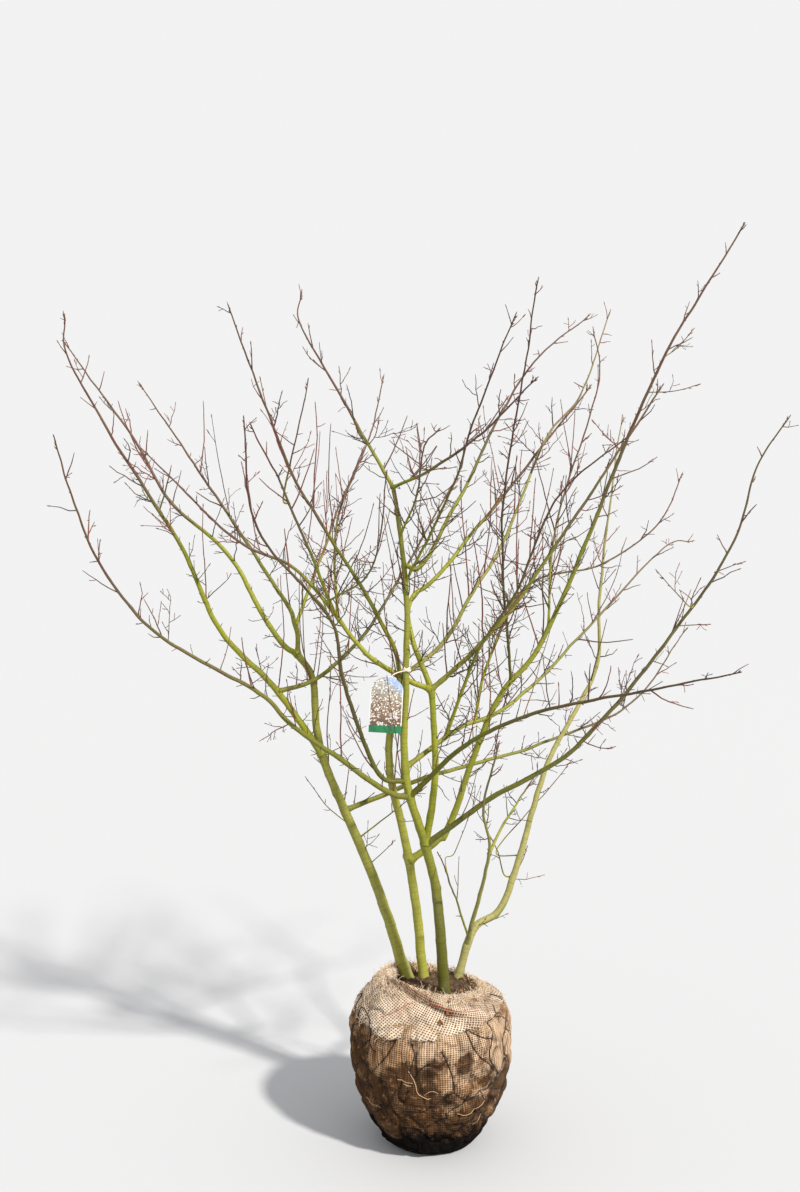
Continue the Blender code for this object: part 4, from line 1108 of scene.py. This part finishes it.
def wrapPoint(mark, height, radius, angle):
    around = bearing(angle)
    endHeight, endRadius = wrap["shoulder"][-1]
    hang = max(0.0, mark - 1)
    if hang > 0:
        low = edgeHeight(angle)
        height = endHeight + (low - endHeight) * hang
        lifted = 0.009 * bell(angle - wrap["edgeFront"], 0.26) * hang ** 2
        relief = max(-0.001 - 0.006 * (1 - looseness(angle)), ballRelief(angle, low)[0])
        under = profileRadius(low) + relief + 0.0012 + (wrap["edgeStand"] - 0.0012) * looseness(angle) + lifted
        radius = endRadius + (under - endRadius) * hang ** 0.8 + 0.003 * math.sin(math.pi * hang)
    rim = len(wrap["inside"]) / (len(wrap["inside"] + wrap["rim"] + wrap["shoulder"]) - 1)
    outer = easeBetween(rim - 0.1, rim + 0.2, mark)
    leanHere = 1 - easeBetween(rim + 0.1, 1.15, mark)
    lift = (wrap["lean"][0] * around.x + wrap["lean"][1] * around.y) * leanHere
    nearRim = bell(mark - rim - 0.05, 0.2)
    lift += nearRim * (0.0050 * noise.noise(around * 3.4 + Vector((5, 5, 0))) + 0.0030 * noise.noise(around * 9))
    stand, paintedShade, stain = 0.0, 0.0, 0.0
    for width, rise, stained, path in wrap["rolls"]:
        roll, strength = alongPath(path, math.degrees(angle))
        roll += 0.03 * noise.noise(around * 5)
        ridge = bell(mark - roll, width) * strength
        groove = bell(mark - roll - 1.9 * width, width * 0.55) * strength
        stand += rise * ridge - 0.006 * groove
        # painted shade in the groove under each roll
        paintedShade += 0.85 * groove
        stain += stained * strength * bell(mark - roll - 0.7 * width, width)
    spot = around * 0.17 + straightUp(height + lift)
    warped = spot + noise.noise_vector(spot * 14) * 0.02
    stand += 0.0065 * noise.noise(spot * 13)
    deep = max(0.0, 1 - abs(noise.noise(warped * 19)) * 3.6)
    small = max(0.0, 1 - abs(noise.noise(warped * 47)) * 3.4)
    stand -= 0.0065 * deep ** 2 + 0.0028 * small ** 2
    # painted shade in the folds
    paintedShade += 0.40 * deep ** 4 + 0.20 * small ** 4
    # painted shadow under the hanging edge where it stands off the ball
    paintedShade += 0.5 * easeBetween(0.8, 1.0, hang) * (looseness(angle) - wrap["tight"])
    inner = bell(angle - math.radians(-22), 0.55) * (1 - easeBetween(rim - 0.1, rim + 0.25, mark))
    radius -= 0.016 * inner
    slope = easeBetween(rim, 1.1, mark)  # from upwards at the rim to outwards at the edge
    push = stand * (0.25 + 0.75 * outer)
    centre = Vector((*wrap["centre"], 0)) * (1 - easeBetween(rim, 0.95, mark))
    reach = radius + push * (0.35 + 0.65 * slope)
    place = centre + around * reach + straightUp(height + lift + push * (1 - 0.9 * slope) * outer)
    return place, min(1.0, paintedShade), min(1.0, stain)


def makeWrap():
    made = bmesh.new()
    rows = wrapProfile()
    level = made.verts.layers.float.new("level")
    paintedShade = made.verts.layers.float.new("paintedShade")
    stain = made.verts.layers.float.new("stain")
    verts = []
    for i, row in enumerate(rows):
        vert = made.verts.new((0.1, 0, i * 0.001))
        vert[level] = i
        verts.append(vert)
    edges = [made.edges.new(pair) for pair in zip(verts, verts[1:])]
    bmesh.ops.spin(made, geom=verts + edges, cent=(0, 0, 0), axis=(0, 0, 1), dvec=(0, 0, 0), angle=math.tau,
                   steps=wrap["segments"], use_merge=True, use_duplicate=False)
    for vert in made.verts:
        vert.co, vert[paintedShade], vert[stain] = wrapPoint(*rows[round(vert[level])], math.atan2(vert.co.y, vert.co.x))
    bmesh.ops.recalc_face_normals(made, faces=made.faces)
    outermost = max(made.faces, key=lambda face: face.calc_center_median().x)
    if outermost.normal.x < 0:
        bmesh.ops.reverse_faces(made, faces=made.faces)
    clothUv(made, "wrap")
    thicken(made, wrap["thick"])
    return toMesh(made, "hessianWrap")


def hessianMaterial(name, soiledWithPaintedLight):
    material, tree, shader = newMaterial(name, 0.95)
    shader["Specular IOR Level"].default_value = 0.05
    shader["Sheen Weight"].default_value = 0.0 if soiledWithPaintedLight else 0.10
    cloth = add(tree, "ShaderNodeUVMap", uv_map="cloth").outputs["UV"]
    body = objectPlace(tree)
    sway = add(tree, "ShaderNodeTexNoise", {"Vector": body, "Scale": 11, "Detail": 3}).outputs["Color"]
    swayed = add(tree, "ShaderNodeVectorMath", {0: sway, 1: (1.2, 1.2, 0)}, operation="MULTIPLY").outputs[0]
    skewed = add(tree, "ShaderNodeVectorMath", {0: cloth, 1: swayed}, operation="ADD").outputs[0]
    parts = parted(tree, skewed)
    threads = []
    for axis in ("X", "Y"):
        wave = sums(tree, "SINE", times(tree, parts[axis], math.tau))
        threads.append(times(tree, sums(tree, "ADD", wave, 1.0), 0.5))
    over = sums(tree, "MAXIMUM", *threads)
    openness = span(tree, noiseAt(tree, body, 8, 3), 0.36, 0.56, 0.78, 1.0)
    hole = times(tree, span(tree, over, 0.50, 0.88, 1, 0), openness)
    fibre = noiseAt(tree, stretched(tree, cloth, (3.5, 1.1, 1)), 1, 3)
    tone = noiseAt(tree, body, 15, 5)
    place = parted(tree, body)
    dull, pale = ((0.300, 0.160, 0.078), (0.610, 0.400, 0.235))
    if not soiledWithPaintedLight:
        dull, pale = (0.620, 0.470, 0.345), (0.860, 0.710, 0.550)
    colour = mixColours(tree, span(tree, tone, 0.30, 0.68), dull, pale)
    if soiledWithPaintedLight:  # paler high up and on the right side: partly cleaner cloth high up, partly painted light on the top and the lit right side
        cleanAndPaintedLight = sums(tree, "ADD", place["Z"], times(tree, place["X"], 0.8))
        cleanAndPaintedLight = span(tree, sums(tree, "ADD", cleanAndPaintedLight, span(tree, tone, 0.3, 0.7, -0.05, 0.05)), 0.20, 0.37, 0, 0.85)
        colour = mixColours(tree, cleanAndPaintedLight, colour, (0.700, 0.500, 0.340))
    colour = mixColours(tree, span(tree, fibre, 0.38, 0.7, 0, 0.35), colour, (0.250, 0.150, 0.075))
    blotch = noiseAt(tree, stretched(tree, body, (7, 7, 15)), 1, 5, 0.62)
    stain = span(tree, blotch, 0.54, 0.62, 0, 0.80 if soiledWithPaintedLight else 0.40)
    colour = mixColours(tree, stain, colour, (0.200, 0.098, 0.040))
    if not soiledWithPaintedLight:
        rolled = attribute(tree, "stain")
        colour = mixColours(tree, times(tree, rolled, 0.65), colour, (0.330, 0.170, 0.080))
    colour = mixColours(tree, times(tree, hole, 0.92), colour, (0.055, 0.030, 0.015))
    grit = noiseAt(tree, body, 62, 5, 0.7)
    if soiledWithPaintedLight:
        blot = noiseAt(tree, body, 12, 6, 0.66)
        soaked = sums(tree, "ADD", place["Z"], times(tree, place["X"], 0.20))
        soaked = sums(tree, "ADD", soaked, span(tree, blot, 0.34, 0.66, -0.12, 0.12))
        patch = attribute(tree, "soaked")
        soaked = sums(tree, "SUBTRACT", soaked, times(tree, patch, 0.12))
        soil = span(tree, soaked, 0.185, 0.290, 1.0, 0.0)
        colour = mixColours(tree, times(tree, soil, 0.88), colour, (0.050, 0.022, 0.009))
        crumb = times(tree, span(tree, grit, 0.56, 0.66), soil)
        colour = mixColours(tree, times(tree, crumb, 0.75), colour, (0.300, 0.155, 0.066))
    # painted shade: near-black mixed into the cloth in folds, pits and grooves, along wires and under the hanging edge
    paintedShade = attribute(tree, "paintedShade")
    colour = mixColours(tree, times(tree, paintedShade, 0.90), colour, (0.022, 0.013, 0.008))
    dust = span(tree, grit, 0.60, 0.74, 0, 0.5)
    colour = mixColours(tree, dust, colour, (0.140, 0.070, 0.034))
    if soiledWithPaintedLight:  # near black at the foot, higher at the sides: partly wet dark cloth, partly painted contact shade under the ball
        wetAndPaintedShade = sums(tree, "ADD", place["Z"], span(tree, blot, 0.34, 0.66, -0.04, 0.04))
        wetAndPaintedShade = sums(tree, "SUBTRACT", wetAndPaintedShade, times(tree, sums(tree, "POWER", place["X"], 2), 0.8))
        colour = mixColours(tree, span(tree, wetAndPaintedShade, 0.060, 0.105, 0.97, 0.0), colour, (0.003, 0.003, 0.003))
    tree.links.new(colour, shader["Base Color"])
    relief = sums(tree, "ADD", over, times(tree, fibre, 0.35))
    relief = sums(tree, "SUBTRACT", relief, times(tree, hole, 0.5))
    if soiledWithPaintedLight:
        relief = sums(tree, "ADD", relief, times(tree, grit, 1.2))
    tree.links.new(bumped(tree, relief, 0.85, 0.0018), shader["Normal"])
    return material


rootBall = newPiece("rootBallHessian", makeBall(), [hessianMaterial("hessianSoiled", True)])
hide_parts("root_ball")
upperWrap = newPiece("hessianWrap", makeWrap(), [hessianMaterial("hessianClean", False)])
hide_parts("collar")

# every surface a wire or a fibre can lie on
shell = bmesh.new()
shell.from_mesh(rootBall.data)
shell.from_mesh(upperWrap.data)
shellTree = BVHTree.FromBMesh(shell)
shell.free()


def onShell(angle, height, stand):  # the outermost cloth at an angle and height
    out = bearing(angle)
    place, normal, _, _ = shellTree.ray_cast(out * 0.4 + straightUp(height), -out)
    return surfacePoint(angle, height, stand) if place is None else place + out * stand


wireRows = []
for path in wirePaths:
    points = [onShell(angle, height, netting["wire"] * 0.9) for angle, height in path if height > netting["lowest"]]
    if len(points) < 3:
        continue
    smooth = [points[0]] + [(a + b * 2 + c) / 4 for a, b, c in zip(points, points[1:], points[2:])] + [points[-1]]
    wireRows.append((smooth, [netting["wire"]] * len(smooth), 0))
wireMaterial, tree, shader = newMaterial("nettingWire", 0.55)
shader["Specular IOR Level"].default_value = 0.2
rust = span(tree, noiseAt(tree, objectPlace(tree), 70, 4), 0.40, 0.62)
tree.links.new(mixColours(tree, rust, (0.010, 0.008, 0.007), (0.034, 0.018, 0.011)), shader["Base Color"])
newPiece("wireNetting", sprayMesh("wireNetting", wireRows, 1, [wireMaterial]), [])


# loose fibres at the rim, on the shoulder and at the hanging edge, and a few stray strands
fibres = {
    "rim": 1700, "shoulder": 1000, "edge": 420, "length": (0.006, 0.026), "thick": 0.00034, "strayCount": 9,
    "rimReach": (0.122, 0.150), "edgeRise": 0.004, "leftOut": 0.6, "shorter": 0.85, "steps": 4,
}
spots = {"rim": [], "shoulder": [], "edge": []}
for vert in upperWrap.data.vertices:
    reach = math.hypot(vert.co.x, vert.co.y)
    if fibres["rimReach"][0] < reach < fibres["rimReach"][1] and vert.normal.z > 0.2:
        zone = "rim"
    elif vert.co.z < edgeHeight(math.atan2(vert.co.y, vert.co.x)) + fibres["edgeRise"]:
        zone = "edge"
    else:
        zone = "shoulder"
    spots[zone].append((vert.co.copy(), vert.normal.copy()))
fibreRows = []
for zone in ("rim", "shoulder", "edge"):
    for _ in range(fibres[zone]):
        place, normal = chance.choice(spots[zone])
        if place.x < 0.02 and zone == "shoulder" and chance.random() < fibres["leftOut"]:
            continue
        aim = normal * chance.uniform(0.2, 1) + Vector([chance.uniform(-0.8, 0.8) for _ in range(3)])
        aim = (aim + straightUp(-0.6 if zone == "edge" else 0.35)).normalized()
        length, points = chance.uniform(*fibres["length"]) * (1 if zone == "rim" else fibres["shorter"]), [place]
        for _ in range(fibres["steps"]):
            aim = (aim + Vector([chance.uniform(-0.6, 0.6) for _ in range(3)])).normalized()
            points.append(points[-1] + aim * length / fibres["steps"])
        fibreRows.append((points, [fibres["thick"]] * len(points), chance.choice((0, 0, 1))))
fibreMaterials = [plainWood("jutePale", (0.72, 0.57, 0.41), 0.9), plainWood("juteTan", (0.42, 0.27, 0.15), 0.9)]
newPiece("hessianFibres", sprayMesh("hessianFibres", fibreRows, 0, fibreMaterials), [])

strandRows = []  # a red edge thread, a pale straw and stray strands on the cloth
def laidStrand(path, stand, radius, colour):
    points = [Vector((math.radians(angle), height, 0)) for angle, height in path]
    ends = [2 * points[0] - points[1]] + points + [2 * points[-1] - points[-2]]
    spots = [splinePoint(*ends[i - 1:i + 3], step / 6) for i in range(1, len(ends) - 2) for step in range(6)]
    row = [onShell(spot.x, spot.y, stand) for spot in spots]
    strandRows.append((row, [radius] * len(row), colour))


laidStrand([(-134, 0.350), (-126, 0.362), (-120, 0.373), (-114, 0.384), (-106, 0.389)], 0.0007, 0.0007, 0)
laidStrand([(-94, 0.387), (-81, 0.383), (-72, 0.376), (-64, 0.371), (-54, 0.365), (-45, 0.360)], 0.0014, 0.0007, 0)
laidStrand([(-107, 0.236), (-102, 0.203), (-100, 0.180), (-94, 0.168), (-91, 0.170)], 0.0014, 0.0010, 1)
laidStrand([(-114, 0.2145), (-109, 0.209), (-103, 0.204)], 0.0012, 0.0007, 1)
laidStrand([(-96, 0.176), (-93, 0.186), (-89, 0.189), (-86, 0.182)], 0.0012, 0.0007, 1)
laidStrand([(-72, 0.120), (-66, 0.112), (-60, 0.118), (-54, 0.132), (-49, 0.139)], 0.0014, 0.0008, 1)
for _ in range(fibres["strayCount"]):
    angle, height = chance.uniform(-math.pi, math.pi), chance.uniform(0.06, 0.28)
    lean, drop = chance.uniform(-0.05, 0.05), chance.uniform(-0.008, 0.008)
    path = [(angle + lean * i + 0.02 * math.sin(i * 1.9), height + drop * i) for i in range(6)]
    strandRows.append(([onShell(*spot, 0.0009) for spot in path], [0.0008] * 6, 1))
strandMaterials = [plainWood("redThread", (0.400, 0.040, 0.030), 0.85),
                   plainWood("straw", (0.44, 0.29, 0.17), 0.9)]
newPiece("hessianStrands", sprayMesh("hessianStrands", strandRows, 1, strandMaterials), [])


def makeLeafBits():  # curled scraps of dead leaf caught on the cloth
    joined = bmesh.new()
    for angle, height, size, turned in ((-75, 0.363, 0.0105, 0.5), (-84, 0.353, 0.0075, 2.1), (-70, 0.384, 0.006, 1.2),
                                        (-40, 0.372, 0.007, 0.2)):
        flake = bmesh.new()
        bmesh.ops.create_grid(flake, x_segments=6, y_segments=4, size=size)
        for vert in flake.verts:
            narrow = 1 - 0.75 * (abs(vert.co.x) / size) ** 1.6
            vert.co = Vector((vert.co.x, vert.co.y * 0.6 * narrow, 0.45 * size * (vert.co.x / size) ** 2
                              + 0.9 * size * (vert.co.y / size) ** 2 + 0.2 * size * noise.noise(vert.co * 200)))
        thicken(flake, 0.0004)
        out = Vector((math.cos(math.radians(angle)) * 0.6, math.sin(math.radians(angle)) * 0.6, 0.75))
        seat = Matrix.Translation(onShell(math.radians(angle), height, 0.002))
        seat = seat @ out.to_track_quat("Z", "Y").to_matrix().to_4x4() @ Matrix.Rotation(turned, 4, "Z")
        bmesh.ops.transform(flake, matrix=seat, verts=flake.verts)
        joinInto(joined, flake)
    bmesh.ops.recalc_face_normals(joined, faces=joined.faces)
    return toMesh(joined, "leafBits")


newPiece("leafBits", makeLeafBits(), [plainWood("deadLeaf", (0.200, 0.080, 0.028), 0.7)])

# soil and litter in the collar

soil = {
    "radius": 0.118, "level": 0.3675, "crown": 0.004, "lump": 0.005, "lumpRates": (38, 110), "drop": 0.018,
    "clods": 260, "clodSizes": (0.0022, 0.0062), "chips": 90, "chipSizes": (0.0025, 0.0070), "spread": 0.97,
}


def makeSoil():
    made = bmesh.new()
    bmesh.ops.create_circle(made, cap_ends=True, cap_tris=True, segments=72, radius=soil["radius"])
    bmesh.ops.subdivide_edges(made, edges=made.edges[:], cuts=9, use_grid_fill=True)
    bmesh.ops.triangulate(made, faces=made.faces[:])
    for vert in made.verts:
        reach = vert.co.length / soil["radius"]
        height = soil["level"] + soil["crown"] * (1 - reach ** 2)
        coarse, fine = (noise.noise(vert.co * rate) for rate in soil["lumpRates"])
        height += soil["lump"] * coarse + soil["lump"] * 0.6 * fine
        vert.co = Vector((vert.co.x + wrap["centre"][0], vert.co.y + wrap["centre"][1], height))
    rim = [edge for edge in made.edges if edge.is_boundary]
    grown = bmesh.ops.extrude_edge_only(made, edges=rim)["geom"]
    bmesh.ops.translate(made, verts=vertsOf(grown), vec=(0, 0, -soil["drop"]))
    bmesh.ops.holes_fill(made, edges=[edge for edge in made.edges if edge.is_boundary])
    bmesh.ops.recalc_face_normals(made, faces=made.faces)
    return toMesh(made, "soilBed")


def scattered(name, count, sizes, flatten, chance):  # joined lumps or chips
    lump = bmesh.new()
    bmesh.ops.create_icosphere(lump, subdivisions=1, radius=1)
    pattern = toMesh(lump, name + "Pattern")
    joined = bmesh.new()
    for _ in range(count):
        angle, reach = chance.uniform(0, math.tau), soil["radius"] * soil["spread"] * math.sqrt(chance.random())
        size = chance.uniform(*sizes)
        place = Vector((reach * math.cos(angle) + wrap["centre"][0],
                        reach * math.sin(angle) + wrap["centre"][1], soil["level"] + size * 0.3))
        turn = Matrix.Rotation(chance.uniform(0, math.tau), 4, Vector([chance.uniform(-1, 1) for _ in range(3)]))
        shape = Matrix.Diagonal((size * chance.uniform(0.6, 1.4), size * chance.uniform(0.6, 1.2), size * flatten, 1))
        before = len(joined.verts)
        joined.from_mesh(pattern)
        joined.verts.ensure_lookup_table()
        new = joined.verts[before:]
        bmesh.ops.transform(joined, matrix=Matrix.Translation(place) @ turn @ shape, verts=new)
    for vert in joined.verts:
        vert.co += noise.noise_vector(vert.co * 400) * sizes[0] * 0.25
    bpy.data.meshes.remove(pattern)
    return toMesh(joined, name)


def soilMaterial():
    material, tree, shader = newMaterial("darkSoil", 0.97)
    shader["Specular IOR Level"].default_value = 0.1
    body = objectPlace(tree)
    grain = noiseAt(tree, body, 140, 6, 0.7)
    colour = mixColours(tree, span(tree, grain, 0.35, 0.68), (0.030, 0.019, 0.012), (0.125, 0.080, 0.050))
    patch = span(tree, noiseAt(tree, body, 30, 3), 0.5, 0.66, 0, 0.6)
    colour = mixColours(tree, patch, colour, (0.150, 0.082, 0.046))
    tree.links.new(colour, shader["Base Color"])
    tree.links.new(bumped(tree, grain, 0.9, 0.003), shader["Normal"])
    return material


soilFinish = soilMaterial()
soilBed = newPiece("soilBed", makeSoil(), [soilFinish])
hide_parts("soil")
chance = random.Random(23)
for name, count, sizes, flatten, finish in (
        ("soilClods", soil["clods"], soil["clodSizes"], 0.8, soilFinish),
        ("soilChips", soil["chips"], soil["chipSizes"], 0.16, plainWood("barkChip", (0.23, 0.125, 0.065), 0.85))):
    newPiece(name, scattered(name, count, sizes, flatten, chance), [finish])


# picture label and its strap

label = {
    "width": 0.083, "height": 0.143, "thick": 0.0012, "centre": (-0.117, -0.072, 1.141), "tilt": math.radians(3),
    "arch": 0.034, "bow": 0.0022, "border": 0.0022, "band": 0.0185,
}
strap = {"width": 0.0070, "lift": 0.0012, "thick": 0.0006, "share": 0.655, "colour": (0.74, 0.66, 0.56)}


def makeLabel():
    made = bmesh.new()
    half, steps = label["width"] / 2, 14
    shoulder = label["height"] / 2 - label["arch"]
    outline = [(-half, -label["height"] / 2), (half, -label["height"] / 2)]
    outline += [(half * math.cos(math.pi * i / steps), shoulder + label["arch"] * math.sin(math.pi * i / steps))
                for i in range(steps + 1)]
    face = made.faces.new([made.verts.new((x, 0, z)) for x, z in outline])
    for cut in range(1, 9):
        everything = made.verts[:] + made.edges[:] + made.faces[:]
        bmesh.ops.bisect_plane(made, geom=everything, plane_co=(-half + label["width"] * cut / 9, 0, 0),
                               plane_no=(1, 0, 0))
    thicken(made, label["thick"])
    layer = made.loops.layers.uv.new("card")
    for face in made.faces:
        for loop in face.loops:
            loop[layer].uv = (loop.vert.co.x / label["width"] + 0.5, loop.vert.co.z / label["height"] + 0.5)
    for vert in made.verts:
        vert.co.y += label["bow"] * ((vert.co.x / half) ** 2 - 0.5)
    turn = Matrix.Rotation(label["tilt"], 4, "Y")
    bmesh.ops.transform(made, matrix=Matrix.Translation(label["centre"]) @ turn, verts=made.verts)
    bmesh.ops.recalc_face_normals(made, faces=made.faces)
    return toMesh(made, "labelCard")


def labelMaterial():  # a generic speckle: pale dots over a warm fade, with a plain green foot
    material, tree, shader = newMaterial("printedCard", 0.30)
    shader["Coat Weight"].default_value = 0.3
    card = add(tree, "ShaderNodeUVMap", uv_map="card").outputs["UV"]
    parts = parted(tree, card)
    across, up = parts["X"], parts["Y"]
    square = stretched(tree, card, (label["width"], label["height"], 1))
    sky = span(tree, sums(tree, "ADD", up, times(tree, across, 0.5)), 1.10, 1.30)
    ground = ramp(tree, up, [(0.14, (0.110, 0.060, 0.042)), (0.40, (0.215, 0.140, 0.092)),
                             (0.66, (0.275, 0.240, 0.185)), (0.84, (0.300, 0.310, 0.300))])
    # pale flecks, dark flecks that thicken downwards, and a few pinkish drifts
    flecks = add(tree, "ShaderNodeTexVoronoi", {"Vector": square, "Scale": 200})
    fleck = span(tree, flecks.outputs["Distance"], 0.30, 0.48, 1, 0)
    fleckTone = add(tree, "ShaderNodeSeparateColor", {"Color": flecks.outputs["Color"]}).outputs["Red"]
    flecked = mixColours(tree, fleckTone, (0.72, 0.60, 0.46), (0.86, 0.84, 0.80))
    colour = mixColours(tree, times(tree, fleck, 0.95), ground, flecked)
    dark = add(tree, "ShaderNodeTexVoronoi", {"Vector": square, "Scale": 165})
    darkTone = add(tree, "ShaderNodeSeparateColor", {"Color": dark.outputs["Color"]}).outputs["Green"]
    many = span(tree, up, 0.12, 0.95, 0.95, 0.10)
    dot = span(tree, dark.outputs["Distance"], 0.28, 0.46, 1, 0)
    darkDot = times(tree, dot, sums(tree, "LESS_THAN", darkTone, many))
    colour = mixColours(tree, times(tree, darkDot, 0.88), colour, (0.085, 0.042, 0.034))
    drift = span(tree, noiseAt(tree, square, 34, 2), 0.54, 0.62, 0, 0.75)
    lowDrift = times(tree, drift, span(tree, up, 0.15, 0.55, 1, 0))
    colour = mixColours(tree, lowDrift, colour, (0.72, 0.66, 0.68))
    colour = mixColours(tree, times(tree, sky, 0.75), colour, (0.300, 0.440, 0.740))
    edge = label["border"] / label["width"]
    inside = times(tree, sums(tree, "GREATER_THAN", across, edge), sums(tree, "LESS_THAN", across, 1 - edge))
    colour = mixColours(tree, inside, (0.74, 0.74, 0.72), colour)
    foot = sums(tree, "LESS_THAN", up, label["band"] / label["height"])
    colour = mixColours(tree, foot, colour, (0.006, 0.165, 0.055))
    tree.links.new(colour, shader["Base Color"])
    return material


card = newPiece("labelCard", makeLabel(), [labelMaterial()], smooth=False)
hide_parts("label")


def bandLoop(joined, centre, axis, inner, width):  # one turn of flat strap
    seat = Matrix.Translation(centre) @ axis.to_track_quat("Z", "X").to_matrix().to_4x4()
    turn = bmesh.new()
    bmesh.ops.create_circle(turn, cap_ends=False, segments=28, radius=inner)
    grown = bmesh.ops.extrude_edge_only(turn, edges=turn.edges[:])["geom"]
    bmesh.ops.translate(turn, verts=vertsOf(grown), vec=(0, 0, width))
    bmesh.ops.recalc_face_normals(turn, faces=turn.faces)
    thicken(turn, strap["thick"])
    bmesh.ops.transform(turn, matrix=seat, verts=turn.verts)
    joinInto(joined, turn)


def makeStrap():
    joined = bmesh.new()
    stem, line = limbs["stem_front"], lines["stem_front"]
    centre = bareLinePoint(line, strap["share"])
    inner = limbRadius(stem, line, strap["share"]) + strap["lift"]
    bandLoop(joined, centre, Vector((0.42, -0.16, 1)).normalized(), inner + 0.0012, strap["width"])
    bandLoop(joined, centre + straightUp(0.001), Vector((-0.46, -0.12, 1)).normalized(), inner + 0.0020,
             strap["width"] * 0.8)
    top = Vector(label["centre"]) + Vector((0.002, 0.0006, label["height"] / 2 - 0.004))
    start = centre + Vector((-inner * 0.75, -inner * 0.8, 0))
    tail = bmesh.new()
    bmesh.ops.create_grid(tail, x_segments=1, y_segments=8, size=0.5)
    for vert in tail.verts:
        t = vert.co.y + 0.5
        middle = start.lerp(top, t) + Vector((0, -0.006 * math.sin(math.pi * t), 0.004 * math.sin(math.pi * t)))
        vert.co = middle + Vector((vert.co.x * strap["width"] * (1 - 0.35 * t), 0, 0))
    thicken(tail, strap["thick"])
    joinInto(joined, tail)
    bmesh.ops.recalc_face_normals(joined, faces=joined.faces)
    return toMesh(joined, "labelStrap")


strapPiece = newPiece("labelStrap", makeStrap(), [plainWood("paleStrap", strap["colour"], 0.5)])
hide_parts("strap")


# floor, camera, light

for piece in ownPieces:
    piece.data.transform(Matrix.Translation((0, 0, footDepth)))
floorMesh = bmesh.new()
bmesh.ops.create_grid(floorMesh, x_segments=1, y_segments=1, size=studio["floorSize"] / 2)
floorPiece = bpy.data.objects.new("studioFloor", toMesh(floorMesh, "studioFloor"))
floorPiece.data.materials.append(plainWood("floorPaint", studio["floorColour"], 0.9))
bpy.context.scene.collection.objects.link(floorPiece)
setCamera()
setLights()
bpy.context.scene.view_settings.view_transform = "Standard"
